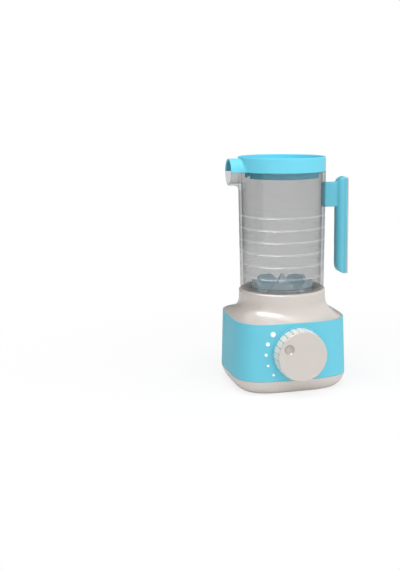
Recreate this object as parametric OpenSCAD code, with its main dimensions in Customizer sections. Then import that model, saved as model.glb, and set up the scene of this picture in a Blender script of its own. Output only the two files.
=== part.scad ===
// Toy blender with a hand-turned dial: a base with a crown-gear drive, a clear
// lift-off jug with its own rotor, a hook handle and a lift-off lid with a spout.
// Millimetres, +Z up. The origin is on the drive axis at the underside of the
// base, the dial faces -Y, the handle +X and the spout -X.

/* [Base] */
// Width across the top of the coloured band
base_top_w = 113.6; // [108:0.2:118]
// Width across the bottom of the coloured band
base_bottom_w = 117; // [112:0.2:122]
// Depth across the top of the coloured band
base_top_d = 108.6; // [104:0.2:114]
// Depth across the bottom of the coloured band
base_bottom_d = 111.8; // [106:0.2:118]
// Squareness of the base outline, 2 is an ellipse
corner_power = 3.8; // [3.2:0.1:4.6]
// Height of the pale foot under the band
foot_h = 14.7; // [12:0.1:18]
// How far the foot curves in at the ground
foot_inset = 11; // [8:0.5:13]
// Height of the coloured band
band_h = 56.4; // [54:0.2:60]
// Wall of the three base shells
wall = 2.2; // [1.8:0.1:2.6]
// Floor of the foot
floor_t = 2.6; // [2:0.1:3.2]

/* [Cover] */
// Outer radius of the collar under the jug
collar_r = 44; // [43:0.1:45]
// Height of the cover from the band to the top of the collar
cover_h = 26.4; // [24:0.2:30]
// How fast the cover sweeps in from the band to the collar
flare_power = 4.7; // [4:0.1:5.4]
// Step from the band's outer face in to the cover
band_lip = 0.7; // [0.4:0.1:1.2]
// Rounding of the collar's outer edge
collar_round = 2.4; // [1.6:0.1:2.8]
// Radius of the round recess that takes the jug
recess_r = 34; // [33:0.1:35]
// Depth of that recess
recess_depth = 17.5; // [17:0.1:19]

/* [Dial] */
// Height of the dial's axis above the ground
dial_z = 41.7; // [40:0.1:44]
// Radius of the dial's face
dial_r = 24.4; // [22:0.1:24.6]
// How much wider the dial is at its back edge
dial_flare = 1; // [0.6:0.1:1.2]
// Thickness of the dial
dial_t = 14.3; // [12:0.1:17]
// Number of finger grooves round the dial
dial_grooves = 24; // [18:1:30]
// Radius of each finger groove
groove_r = 0.9; // [0.6:0.1:1.2]
// Radius of the finger dimple's rim
dimple_r = 5.2; // [4:0.1:6]
// Distance of the dimple from the dial's axis
dimple_out = 16; // [13:0.5:17]
// Direction of the dimple, seen from the front
dimple_angle = 150; // [0:5:355]
// Height of the flat seat behind the dial
seat_h = 0.9; // [0.7:0.1:1.2]
// Number of speed dots
dot_count = 5; // [3:1:5]
// Radius of the smallest speed dot
dot_small_r = 1.2; // [1:0.1:1.4]
// Radius of the largest speed dot
dot_large_r = 2.6; // [2:0.1:3]
// Distance of the speed dots from the dial's axis
dots_out = 32.3; // [31:0.1:34]
// Angle between two speed dots
dots_pitch = 19.2; // [16:0.2:21]

/* [Drive] */
// Radius of the dial's shaft
dial_shaft_r = 3; // [2.6:0.1:3.4]
// Radius of the upright drive shaft
drive_shaft_r = 2.5; // [2.2:0.1:2.8]
// Gear module, the tooth pitch over pi
gear_module = 1.5; // [1.4:0.05:1.6]
// Teeth on the crown gear
crown_teeth = 28; // [26:2:30]
// Teeth on the pinion
pinion_teeth = 10; // [10:2:10]
// Face width of the gear teeth
tooth_face = 4.4; // [3.6:0.2:5]
// Running clearance between a shaft and its bush
running_gap = 0.05; // [0.03:0.01:0.09]

/* [Jug] */
// Height of the clear jug above the collar
jug_h = 117.4; // [108:0.2:126]
// Outer radius of the jug at its foot
jug_bottom_r = 42.4; // [41.6:0.1:43]
// Outer radius of the jug at its mouth
jug_top_r = 43.9; // [43.4:0.1:45]
// Wall of the jug
jug_wall = 3; // [2.4:0.1:3.4]
// Number of grooves round the jug
ring_count = 6; // [4:1:7]
// Height of the lowest groove above the jug's foot
ring_first = 14.1; // [12:0.1:16]
// Distance between two grooves
ring_pitch = 12.07; // [10:0.01:13]
// Depth of a groove
ring_depth = 0.6; // [0.4:0.1:0.9]
// How deep the jug's spigot reaches into the recess
spigot_h = 7; // [6.6:0.1:7.4]
// Thickness of the jug's floor
jug_floor_t = 2; // [1.6:0.1:2.4]
// Gap under the jug and under the lid where they rest
seat_gap = 0.3; // [0.2:0.05:0.4]

/* [Rotor] */
// Number of vanes on the rotor
vane_count = 5; // [4:1:6]
// Width of a vane along the rim
vane_w = 29; // [22:0.5:30]
// Height of the vanes above the rotor's disc
vane_h = 11; // [8:0.5:13]
// Thickness of a vane
vane_t = 4; // [3:0.1:5]
// Height of the pointed hub above the rotor's disc
spike_h = 15; // [12:0.5:18]
// Direction of the first vane
vane_phase = 247; // [0:1:359]

/* [Spout and lid] */
// Outer radius of the pouring spout
spout_r = 13.2; // [12:0.1:13.4]
// Distance of the spout's mouth from the jug's axis
spout_reach = 55.2; // [52:0.1:60]
// Wall of the spout
spout_wall = 1.8; // [1.4:0.1:2.2]
// Height of the lid above the jug's rim
lid_h = 14.5; // [14:0.1:17]
// Wall of the lid
lid_wall = 2; // [1.6:0.1:2.4]
// Depth of the dish in the lid's top
dish_depth = 7; // [6:0.1:8]
// Outer radius of the ring that plugs the jug
plug_r = 37.2; // [36:0.1:38]
// How deep the plug reaches into the jug
plug_h = 6.4; // [5:0.1:8]

/* [Handle] */
// Finger gap between the jug's rim radius and the grip
finger_gap = 13.6; // [12:0.1:18]
// Thickness of the grip with its pale back, away from the jug
grip_t = 11.5; // [10.4:0.1:13]
// Width of the grip, from side to side
grip_w = 16; // [14:0.2:20]
// Length of the grip
grip_len = 100.2; // [90:0.2:108]
// Distance from the jug's rim down to the top of the grip
grip_drop = 6.7; // [5:0.1:9]
// Height of the arm between jug and grip
arm_h = 25; // [22:0.2:30]
// Width of that arm
arm_w = 8; // [7:0.1:9]
// Distance from the top of the grip down to the top of the arm
arm_drop = 5.3; // [4:0.1:7]
// Thickness of the pale plate on the grip's back
back_t = 1.6; // [1.2:0.1:2]

/* [Hidden] */

facets = 48;            // points round each base shell
fit_gap = 0.03;         // between pieces that are pressed or screwed together
play = 0.4;             // round a piece that drops into its place
over = 1;               // how far a cutting tool passes the face it opens

pale = [0.79, 0.77, 0.75];
blue = [0.45, 0.81, 0.91];
blue_lid = [0.47, 0.87, 0.96];
clear = [0.72, 0.74, 0.76, 0.35];
steel = [0.62, 0.64, 0.66];
bronze = [0.76, 0.62, 0.36];
nylon = [0.90, 0.89, 0.86];

// Levels of the base
band_z = foot_h;
cover_z = band_z + band_h;
collar_z = cover_z + cover_h;
cup_floor_z = collar_z - recess_depth;

// Half sizes of the base outline
function mix(a, b, t) = a + (b - a) * t;
function band_t(z) = (z - band_z) / band_h;
function half_w(z) = mix(base_bottom_w, base_top_w, band_t(z)) / 2;
function half_d(z) = mix(base_bottom_d, base_top_d, band_t(z)) / 2;
function outline_r(a, b, t) =
    pow(pow(abs(cos(t)) / a, corner_power) + pow(abs(sin(t)) / b, corner_power), -1 / corner_power);

// Face of the band at the front, and the angle by which it turns away from -Y
function front_y(x, z) =
    -half_d(z) * pow(1 - pow(abs(x) / half_w(z), corner_power), 1 / corner_power);
function front_turn(x, z) = atan((front_y(x + 0.1, z) - front_y(x - 0.1, z)) / 0.2);

// A ring of points: radius and height for each direction
function ring(radius, height) = [for (i = [0:facets - 1]) let (t = i * 360 / facets)
    [radius[i] * cos(t), radius[i] * sin(t), height[i]]];
function flat(z) = [for (i = [0:facets - 1]) z];
function round_radii(r) = [for (i = [0:facets - 1]) r];
function band_radii(z, inset) = [for (i = [0:facets - 1])
    outline_r(half_w(z) - inset, half_d(z) - inset, i * 360 / facets)];
function band_ring(z, inset, size_z) = ring(band_radii(size_z, inset), flat(z));

// Skin through rings; closed = true joins the last ring to the first, otherwise
// the first and last rings are closed by flat caps
module skin(rings, closed = false) {
    n = facets;
    count = len(rings);
    spans = closed ? count : count - 1;
    sides = [for (k = [0:spans - 1]) for (i = [0:n - 1])
        let (j = (i + 1) % n, a = k * n, b = ((k + 1) % count) * n)
        each [[a + i, b + i, b + j], [a + i, b + j, a + j]]];
    caps = closed ? [] : [[for (i = [0:n - 1]) i], [for (i = [n - 1:-1:0]) (count - 1) * n + i]];
    polyhedron(points = [for (r = rings) each r], faces = concat(sides, caps), convexity = 6);
}

// ---------------------------------------------------------------- base shells

// Pillars that take the long base screws, and bosses under the gear frame
pillar_x = 37;
pillar_y = 35.5;
pillar_r = 4;
boss_x = 21;
boss_r = 4;
screw_r = 1.5;
thread_gap = 0.05;
pillar_thread_h = 16;                         // base screw's thread in its pillar
cup_thread_h = 7;                             // cup screw's thread in its boss
thread_end = 1.5;                             // threaded holes go this much deeper
head_r = 2.9;
head_h = 2;
frame_t = 3;
frame_z = 8;                                  // underside of the gear frame

// Drive levels
crown_r = gear_module * crown_teeth / 2;
pinion_r = gear_module * pinion_teeth / 2;
mesh_z = dial_z + crown_r;
addendum = 0.9 * gear_module;
dedendum = 1.2 * gear_module;
crown_root_y = -pinion_r - dedendum;
crown_disc_t = 3.5;
crown_back_y = crown_root_y - crown_disc_t;
crown_hub_t = 4;
plate_t = 4;
plate_gap = 1.6;                              // between the crown gear's hub and the front plate
plate_back_y = crown_back_y - crown_hub_t - plate_gap;
plate_front_y = plate_back_y - plate_t;
post_y = 6;
post_t = 8;
post_w = 20;
shelf_t = 4;
bush_flange_t = 1.2;
bush_flange_w = 2.5;                          // flange of a large bush beyond its body
small_flange_w = 1.8;                         // flange of a small bush beyond its body
flange_gap = 0.24;                            // between the dial's bush and the band
hub_drop = 2.7;                               // pinion hub below its teeth
shelf_top_z = mesh_z - tooth_face / 2 - hub_drop - seat_gap - bush_flange_t;
shelf_z = shelf_top_z - shelf_t;
frame_front_y = plate_front_y - 1;
frame_back_y = post_y + post_t + 2;
boss_front_y = plate_front_y + 1.5;
boss_back_y = frame_back_y - 5;

module at_pillars() {
    for (x = [-1, 1], y = [-1, 1]) translate([x * pillar_x, y * pillar_y, 0]) children();
}

module at_frame_screws() {
    for (x = [-1, 1], y = [boss_front_y, boss_back_y]) translate([x * boss_x, y, 0]) children();
}

foot_power = 1.67;
foot_steps = [0, 0.015, 0.05, 0.12, 0.22, 0.38, 0.6, 0.8];
lip_h = 5;                                    // overlap inside the band, top and bottom
lip_t = 1.8;
lip_inset = wall + 0.25;
recess_head_h = 3;                            // depth of the sunk screw heads in the foot

function foot_in(t) = foot_inset * (1 - pow(1 - pow(1 - t, foot_power), 1 / foot_power));

module bottom_housing() {
    color(pale) difference() {
        union() {
            skin(concat(
                [for (t = foot_steps) band_ring(t * foot_h, foot_in(t), band_z)],
                [band_ring(band_z, 0, band_z),
                 band_ring(band_z, lip_inset, band_z),
                 band_ring(band_z + lip_h, lip_inset, band_z + lip_h),
                 band_ring(band_z + lip_h, lip_inset + lip_t, band_z + lip_h),
                 band_ring(band_z - 2, lip_inset + lip_t, band_z)],
                [for (t = [0.62, 0.45, 0.3]) band_ring(t * foot_h, foot_in(t) + wall + lip_t, band_z)],
                [band_ring(floor_t, foot_in(0.2) + wall + lip_t, band_z)]));
            at_frame_screws() translate([0, 0, floor_t / 2])
                cylinder(h = frame_z - floor_t / 2, r = boss_r, $fn = 48);
            at_pillars() translate([0, 0, floor_t / 2])
                cylinder(h = band_z - fit_gap - floor_t / 2, r = pillar_r + 0.6, $fn = 48);
        }
        at_frame_screws() translate([0, 0, floor_t])
            cylinder(h = frame_z, r = screw_r + thread_gap, $fn = 32);
        at_pillars() translate([0, 0, -over]) {
            cylinder(h = band_z + 2 * over, r = screw_r + 0.2, $fn = 32);
            cylinder(h = recess_head_h + over, r = head_r + 0.3, $fn = 32);
        }
    }
}

module dial_axis(y = 0) {
    translate([0, y, dial_z]) rotate([90, 0, 0]) children();
}

// Speed dots: their radii grow faster towards the last one, at the top
dot_growth = 2.1;
dot_sink = 0.9;
dot_proud = 0.3;

// Places its children on each dot, turned to the band's face and pointing out
module at_dots() {
    for (i = [0:dot_count - 1]) {
        angle = 180 + ((dot_count - 1) / 2 - i) * dots_pitch;
        x = dots_out * cos(angle);
        z = dial_z + dots_out * sin(angle);
        $dot_r = mix(dot_small_r, dot_large_r, pow(i / (dot_count - 1), dot_growth));
        translate([x, front_y(x, z), z]) rotate([90, 0, front_turn(x, z)]) children();
    }
}

dial_seat_r = dial_r + dial_flare + 1.3;
dial_seat_y = front_y(0, dial_z) - seat_h;
dial_bush_r = dial_shaft_r + 3.5;

module band_shell() {
    color(blue) difference() {
        union() {
            skin([band_ring(band_z, 0, band_z), band_ring(cover_z, 0, cover_z),
                  band_ring(cover_z, wall, cover_z), band_ring(band_z, wall, band_z)], closed = true);
            dial_axis(dial_seat_y + seat_h + 1.1) cylinder(h = seat_h + 1.1, r = dial_seat_r, $fn = 96);
        }
        dial_axis() cylinder(h = base_bottom_d, r = dial_bush_r + fit_gap, $fn = 48);
        at_dots() translate([0, 0, -dot_sink - fit_gap])
            cylinder(h = dot_sink + over, r = $dot_r + fit_gap, $fn = 32);
    }
}

module speed_dots() {
    color("white") at_dots() translate([0, 0, -dot_sink])
        cylinder(h = dot_sink + dot_proud, r = $dot_r, $fn = 32);
}

// Cover outline at a share t of its height, its slope, and the point a wall below it
function cover_in(t) = pow(1 - t, flare_power);
function cover_edge(i) =
    outline_r(half_w(cover_z) - band_lip, half_d(cover_z) - band_lip, i * 360 / facets);
function cover_r(i, t) = mix(collar_r, cover_edge(i), cover_in(t));
function cover_slope(i, t) =
    -(cover_edge(i) - collar_r) * flare_power * pow(1 - t, flare_power - 1) / cover_h;
function cover_ring(t) = ring([for (i = [0:facets - 1]) cover_r(i, t)], flat(cover_z + t * cover_h));
function under_cover_ring(t) = ring(
    [for (i = [0:facets - 1]) cover_r(i, t) - wall / norm([1, cover_slope(i, t)])],
    [for (i = [0:facets - 1])
        cover_z + t * cover_h + wall * cover_slope(i, t) / norm([1, cover_slope(i, t)])]);

cover_steps = [0, 0.03, 0.07, 0.12, 0.18, 0.25, 0.34, 0.46, 0.62, 0.8];
under_steps = [0.82, 0.6, 0.42, 0.28, 0.18, 0.1];
cup_drop = 11.5;                              // depth of the cup's flange in the recess
cup_top_z = collar_z - cup_drop;              // where the collar's inner wall meets the cup
cup_wall = 2.2;
cup_screw_out = (recess_r + collar_r) / 2;
cup_edge = 0.8;                               // between the cup's flange and the collar's wall
cup_boss_r = (collar_r - recess_r) / 2 - wall + cup_edge;
cup_screw_r = 1.2;
cup_head_r = 2.2;
small_head_h = 1.6;                           // heads of the cup's and the gear's screws

// Pillar tops end just under the cover's outer face
pillar_edge = outline_r(half_w(cover_z) - band_lip, half_d(cover_z) - band_lip, atan2(pillar_y, pillar_x));
pillar_far_r = norm([pillar_x, pillar_y]) + pillar_r;
pillar_share = (pillar_far_r - collar_r) / (pillar_edge - collar_r);
pillar_top_z = cover_z + cover_h * (1 - pow(pillar_share, 1 / flare_power)) - 0.7;

module at_cup_screws() {
    for (angle = [90, 210, 330]) rotate(angle) translate([cup_screw_out, 0, 0]) children();
}

module top_cover() {
    color(pale) difference() {
        union() {
            skin(concat(
                [for (t = cover_steps) cover_ring(t)],
                [for (a = [0:30:90]) ring(round_radii(collar_r - collar_round * (1 - cos(a))),
                                          flat(collar_z - collar_round * (1 - sin(a))))],
                [ring(round_radii(recess_r), flat(collar_z)),
                 ring(round_radii(recess_r), flat(cup_top_z)),
                 ring(round_radii(recess_r + wall), flat(cup_top_z)),
                 ring(round_radii(recess_r + wall), flat(collar_z - wall)),
                 ring(round_radii(collar_r - wall - 0.2), flat(collar_z - wall))],
                [for (t = under_steps) under_cover_ring(t)],
                [band_ring(cover_z - 0.6, lip_inset + lip_t, cover_z),
                 band_ring(cover_z - lip_h, lip_inset + lip_t, cover_z - lip_h),
                 band_ring(cover_z - lip_h, lip_inset, cover_z - lip_h),
                 band_ring(cover_z, lip_inset, cover_z)]), closed = true);
            at_pillars() translate([0, 0, band_z])
                cylinder(h = pillar_top_z - band_z, r = pillar_r, $fn = 48);
            at_cup_screws() translate([0, 0, cup_top_z])
                cylinder(h = collar_z - wall / 2 - cup_top_z, r = cup_boss_r, $fn = 48);
        }
        at_pillars() translate([0, 0, band_z - over])
            cylinder(h = over + pillar_thread_h + thread_end, r = screw_r + thread_gap, $fn = 32);
        at_cup_screws() translate([0, 0, cup_top_z - over])
            cylinder(h = over + cup_thread_h + thread_end, r = cup_screw_r + thread_gap, $fn = 32);
    }
}

upper_bush_r = drive_shaft_r + 2.5;
cup_floor_t = 2.6;
cup_flange_t = 2;

module coupling_cup() {
    flange_r = collar_r - wall - cup_edge;
    color(pale) difference() {
        rotate_extrude($fn = 96) polygon([
            [upper_bush_r + fit_gap, cup_floor_z - cup_floor_t],
            [recess_r + cup_wall, cup_floor_z - cup_floor_t],
            [recess_r + cup_wall, cup_top_z - cup_flange_t], [flange_r, cup_top_z - cup_flange_t],
            [flange_r, cup_top_z], [recess_r, cup_top_z],
            [recess_r, cup_floor_z], [upper_bush_r + fit_gap, cup_floor_z]]);
        at_cup_screws() translate([0, 0, cup_top_z - cup_flange_t - over])
            cylinder(h = cup_flange_t + 2 * over, r = cup_screw_r + 0.2, $fn = 32);
    }
}

// ----------------------------------------------------------------- fasteners

slot_w = 0.7;                                 // cross slot of a screw

// Pan-head screw with a cross slot, its head's seat at z = 0 and its shank along +Z
module screw(shank_r, shank_h, hr, hh) {
    color(steel) difference() {
        union() {
            translate([0, 0, -hh]) cylinder(h = hh, r = hr, $fn = 32);
            cylinder(h = shank_h, r = shank_r, $fn = 32);
        }
        for (a = [0, 90]) rotate(a) translate([-hr * 0.6, -slot_w / 2, -hh - over])
            cube([hr * 1.2, slot_w, hh * 0.55 + over]);
    }
}

module base_screws() {
    at_pillars() translate([0, 0, recess_head_h])
        screw(screw_r, band_z + pillar_thread_h - recess_head_h, head_r, head_h);
}

module cup_screws() {
    at_cup_screws() translate([0, 0, cup_top_z - cup_flange_t])
        screw(cup_screw_r, cup_flange_t + cup_thread_h, cup_head_r, small_head_h);
}

module frame_screws() {
    at_frame_screws() translate([0, 0, frame_z + frame_t]) rotate([180, 0, 0])
        screw(screw_r, frame_z + frame_t - floor_t - 0.4, head_r, head_h);
}

// -------------------------------------------------------------- gears and shafts

module bush(bore_r, body_r, body_h, flange_r) {
    color(bronze) difference() {
        union() {
            cylinder(h = body_h, r = body_r, $fn = 48);
            translate([0, 0, body_h]) cylinder(h = bush_flange_t, r = flange_r, $fn = 48);
        }
        translate([0, 0, -over]) cylinder(h = body_h + bush_flange_t + 2 * over, r = bore_r, $fn = 48);
    }
}

lower_bush_r = drive_shaft_r + 2;
frame_bush_r = dial_shaft_r + 2.5;
plate_w = 24;

module gear_frame() {
    color(nylon) difference() {
        union() {
            translate([-boss_x - 5, frame_front_y, frame_z])
                cube([2 * (boss_x + 5), frame_back_y - frame_front_y, frame_t]);
            translate([-plate_w / 2, plate_front_y, frame_z]) cube([plate_w, plate_t, dial_z - frame_z]);
            dial_axis(plate_back_y) cylinder(h = plate_t, r = plate_w / 2, $fn = 64);
            translate([-post_w / 2, post_y, frame_z]) cube([post_w, post_t, shelf_top_z - frame_z]);
            translate([-post_w / 2, 0, shelf_z]) cube([post_w, post_y + post_t, shelf_t]);
            translate([0, 0, shelf_z]) cylinder(h = shelf_t, r = lower_bush_r + 1.2, $fn = 48);
        }
        dial_axis(plate_back_y + over)
            cylinder(h = plate_t + 2 * over, r = frame_bush_r + fit_gap, $fn = 48);
        translate([0, 0, shelf_z - over])
            cylinder(h = shelf_t + 2 * over, r = lower_bush_r + fit_gap, $fn = 48);
        at_frame_screws() translate([0, 0, frame_z - over])
            cylinder(h = frame_t + 2 * over, r = screw_r + 0.2, $fn = 32);
    }
}

// The bush's flange clears the band's inner face, which leans, at its top and bottom
module dial_bush() {
    flange_r = dial_bush_r + bush_flange_w;
    inner_y = max(front_y(0, dial_z + flange_r), front_y(0, dial_z - flange_r)) + wall;
    flange_y = inner_y + flange_gap;
    dial_axis(flange_y) mirror([0, 0, 1]) translate([0, 0, -(flange_y - dial_seat_y)])
        bush(dial_shaft_r + running_gap, dial_bush_r, flange_y - dial_seat_y, flange_r);
}

module frame_bush() {
    dial_axis(plate_back_y) bush(dial_shaft_r + running_gap, frame_bush_r, plate_t, frame_bush_r + 2);
}

module lower_bush() {
    translate([0, 0, shelf_z])
        bush(drive_shaft_r + running_gap, lower_bush_r, shelf_t, lower_bush_r + small_flange_w);
}

module upper_bush() {
    translate([0, 0, cup_floor_z]) mirror([0, 0, 1])
        bush(drive_shaft_r + running_gap, upper_bush_r, cup_floor_t, upper_bush_r + bush_flange_w);
}

// The dial stands off its seat; its front face is dial_front_y
dial_back_y = dial_seat_y - play;
dial_front_y = dial_back_y - dial_t;
dial_skin = 2.4;
dial_bevel = 0.9;
dial_boss_r = 7;
groove_stop = 1.6;                            // finger grooves end this far behind the face
groove_out = 0.2;                             // their axes lie this far outside the back edge
dial_shaft_in = dial_t - 4;                   // how far the shaft reaches into the dial
gear_screw_r = 1.2;
gear_thread_h = 7;

module dial_knob() {
    edge_r = dial_r + dial_flare;
    dimple_ball_r = 8.5;
    ball_up = sqrt(dimple_ball_r * dimple_ball_r - dimple_r * dimple_r);
    color(pale) dial_axis(dial_back_y) difference() {
        rotate_extrude($fn = 120) polygon([
            [dial_shaft_r + fit_gap, 0], [dial_boss_r, 0], [dial_boss_r, dial_t - dial_skin - 2],
            [dial_r - dial_skin, dial_t - dial_skin - 2], [edge_r - dial_skin - groove_r, 0], [edge_r, 0],
            [dial_r + dial_bevel * 0.4, dial_t - dial_bevel], [dial_r - dial_bevel * 0.6, dial_t],
            [0, dial_t], [0, dial_shaft_in + fit_gap],
            [dial_shaft_r + fit_gap, dial_shaft_in + fit_gap]]);
        for (i = [0:dial_grooves - 1]) rotate((i + 0.5) * 360 / dial_grooves)
            translate([edge_r + groove_out, 0, -over])
                cylinder(h = dial_t - groove_stop + over, r = groove_r, $fn = 24);
        rotate(dimple_angle) translate([dimple_out, 0, dial_t + ball_up])
            sphere(r = dimple_ball_r, $fn = 64);
    }
}

module dial_shaft() {
    color(steel) dial_axis(crown_root_y) difference() {
        cylinder(h = crown_root_y - dial_back_y + dial_shaft_in, r = dial_shaft_r, $fn = 48);
        translate([0, 0, -over])
            cylinder(h = over + gear_thread_h + thread_end, r = gear_screw_r + thread_gap, $fn = 24);
    }
}

module gear_screw() {
    dial_axis(crown_root_y) screw(gear_screw_r, gear_thread_h, dial_shaft_r + 1.2, small_head_h);
}

// Trapezium tooth: w0 wide at its root, w1 at its tip, h high
module tooth(w0, w1, h) {
    polygon([[-w0 / 2, -0.3], [w0 / 2, -0.3], [w0 / 2, 0], [w1 / 2, h], [-w1 / 2, h], [-w0 / 2, 0]]);
}

tooth_h = addendum + dedendum - 0.15 * gear_module;
root_w = 1.35 * gear_module;
tip_w = 0.7 * gear_module;

module crown_gear() {
    color(nylon) dial_axis(crown_root_y) difference() {
        union() {
            cylinder(h = crown_disc_t, r = crown_r + tooth_face / 2 + 0.4, $fn = 96);
            cylinder(h = crown_disc_t + crown_hub_t, r = dial_shaft_r + 3, $fn = 48);
            for (i = [0:crown_teeth - 1]) rotate((i + 0.5) * 360 / crown_teeth + 90)
                translate([crown_r - tooth_face / 2, 0, 0]) rotate([-90, 0, -90])
                    linear_extrude(height = tooth_face) tooth(root_w, tip_w, tooth_h);
        }
        translate([0, 0, -over]) cylinder(h = crown_disc_t + crown_hub_t + 2 * over,
                                          r = dial_shaft_r + fit_gap, $fn = 48);
    }
}

module drive_pinion() {
    root_r = pinion_r - dedendum;
    color(nylon) translate([0, 0, mesh_z - tooth_face / 2]) difference() {
        union() {
            cylinder(h = tooth_face, r = root_r, $fn = 48);
            translate([0, 0, -hub_drop]) cylinder(h = hub_drop, r = drive_shaft_r + 2, $fn = 48);
            for (i = [0:pinion_teeth - 1]) rotate(i * 360 / pinion_teeth + 180)
                translate([0, root_r, 0]) linear_extrude(height = tooth_face) tooth(root_w, tip_w, tooth_h);
        }
        translate([0, 0, -hub_drop - over]) cylinder(h = hub_drop + tooth_face + 2 * over,
                                                      r = drive_shaft_r + fit_gap, $fn = 48);
    }
}

coupler_z = cup_floor_z + 0.6;
coupler_disc_t = 3;
dog_h = 4.4;
dog_in_r = 6;
dog_out_r = 11;
dog_angle = 44;
dog_rim = 0.6;                                // coupler disc beyond its dogs
clip_t = 1;
shaft_end = 3;                                // drive shaft below its clip's upper face

module drive_shaft() {
    bottom_z = shelf_z - play - shaft_end;
    color(steel) translate([0, 0, bottom_z])
        cylinder(h = coupler_z + coupler_disc_t - bottom_z, r = drive_shaft_r, $fn = 48);
}

module shaft_clip() {
    color(steel) translate([0, 0, shelf_z - play - clip_t]) difference() {
        cylinder(h = clip_t, r = drive_shaft_r + 2.2, $fn = 48);
        translate([0, 0, -over]) cylinder(h = clip_t + 2 * over, r = drive_shaft_r + fit_gap, $fn = 48);
        translate([0, -1.2, -over]) cube([drive_shaft_r + 4, 2.4, clip_t + 2 * over]);
    }
}

// Three dogs standing on z = 0, the first one turned to angle
module dogs(angle) {
    for (i = [0:2]) rotate(angle + i * 120 - dog_angle / 2)
        rotate_extrude(angle = dog_angle, $fn = 96) translate([dog_in_r, -0.3])
            square([dog_out_r - dog_in_r, dog_h + 0.3]);
}

module drive_coupler() {
    color(nylon) translate([0, 0, coupler_z]) difference() {
        union() {
            cylinder(h = coupler_disc_t, r = dog_out_r + dog_rim, $fn = 96);
            translate([0, 0, coupler_disc_t]) dogs(0);
        }
        translate([0, 0, -over])
            cylinder(h = coupler_disc_t + 2 * over, r = drive_shaft_r + fit_gap, $fn = 48);
    }
}

// -------------------------------------------------------------- jug and rotor

jug_z = collar_z + seat_gap;
rim_z = jug_z + jug_h;
jug_floor_z = jug_z - spigot_h;               // underside of the jug's floor
spigot_r = recess_r - play;
spigot_wall = 1.9;
foot_t = 2.6;                                 // jug's foot ring above the collar
rotor_bush_r = drive_shaft_r + 2;
pad_w = arm_w + 1;
pad_out = 1.4;                                // mounting pad beyond the jug's mouth radius

function jug_r(h) = mix(jug_bottom_r, jug_top_r, h / jug_h);

// Grip and arm levels
grip_top_z = rim_z - grip_drop;
grip_z = grip_top_z - grip_len;
arm_top_z = grip_top_z - arm_drop;
arm_z = arm_top_z - arm_h;
pad_x = jug_top_r + pad_out;
grip_x = jug_top_r + finger_gap;
screw_inset = 6;
handle_screw_r = 1.4;
handle_head_r = 2.6;
handle_seat_x = grip_x - 3;                   // where the handle screws' heads seat

module at_handle_screws() {
    for (z = [arm_z + screw_inset, arm_top_z - screw_inset])
        translate([handle_seat_x, 0, z]) rotate([0, -90, 0]) children();
}

module jug_body() {
    grooves = [for (i = [0:ring_count - 1]) let (h = ring_first + i * ring_pitch)
        each [[jug_r(h) , h - ring_depth], [jug_r(h) - ring_depth, h], [jug_r(h), h + ring_depth]]];
    round_in = 1.2;
    color(clear) difference() {
        union() {
            translate([0, 0, jug_z]) rotate_extrude($fn = 120) polygon(concat(
                [[jug_bottom_r - round_in, 0], [jug_bottom_r - round_in * 0.3, round_in * 0.3],
                 [jug_bottom_r, round_in]],
                grooves,
                [[jug_top_r, jug_h], [jug_top_r - jug_wall, jug_h],
                 [jug_bottom_r - jug_wall, foot_t], [spigot_r - spigot_wall, foot_t],
                 [spigot_r - spigot_wall, jug_floor_t - spigot_h],
                 [rotor_bush_r + fit_gap, jug_floor_t - spigot_h],
                 [rotor_bush_r + fit_gap, -spigot_h], [spigot_r, -spigot_h], [spigot_r, 0]]));
            intersection() {
                translate([-spout_reach, 0, rim_z]) rotate([0, 90, 0])
                    cylinder(h = spout_reach - jug_top_r + jug_wall, r = spout_r, $fn = 64);
                translate([-spout_reach - over, -spout_r - over, rim_z - spout_r - over])
                    cube([spout_reach, 2 * (spout_r + over), spout_r + over]);
            }
            translate([jug_top_r - jug_wall, -pad_w / 2, arm_z - 0.5])
                cube([jug_wall + pad_out, pad_w, arm_h + 1]);
        }
        translate([-spout_reach - over, 0, rim_z]) rotate([0, 90, 0])
            cylinder(h = spout_reach - jug_top_r + jug_wall + 3 * over, r = spout_r - spout_wall, $fn = 64);
        translate([0, 0, arm_z - over])
            cylinder(h = arm_h + 2 * over, r = jug_r(arm_z - jug_z) - jug_wall, $fn = 120);
        at_handle_screws()
            cylinder(h = handle_seat_x - jug_top_r + jug_wall - 1, r = handle_screw_r + thread_gap, $fn = 24);
    }
}

module rotor_bush() {
    translate([0, 0, jug_floor_z])
        bush(drive_shaft_r + running_gap, rotor_bush_r, jug_floor_t, rotor_bush_r + small_flange_w);
}

grip_back_x = grip_x + grip_t - back_t;       // where the grip meets its pale back
back_in = 0.5;                                // back plate inside the grip's outline
back_corner_r = 2;
grip_side_r = 5;                              // rounding of the grip's upright edges
toe_r = 8.6;                                  // lower corner towards the jug
heel_r = 1.6;                                 // corners of the grip's back
brow_r = 4.8;                                 // upper corner towards the jug
web_r = 3;                                    // fillet between arm and grip

// Rectangle from [x0, y0] to [x1, y1] with its own radius at each corner,
// counted from [x0, y0] and turning left
module rounded(x0, y0, x1, y1, r) {
    at = [[x0 + r[0], y0 + r[0]], [x1 - r[1], y0 + r[1]], [x1 - r[2], y1 - r[2]], [x0 + r[3], y1 - r[3]]];
    difference() {
        translate([x0, y0]) square([x1 - x0, y1 - y0]);
        for (k = [0:3]) translate(at[k]) rotate(180 + 90 * k) difference() {
            square([r[k] + over, r[k] + over]);
            circle(r = r[k], $fn = 64);
        }
    }
}

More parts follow.
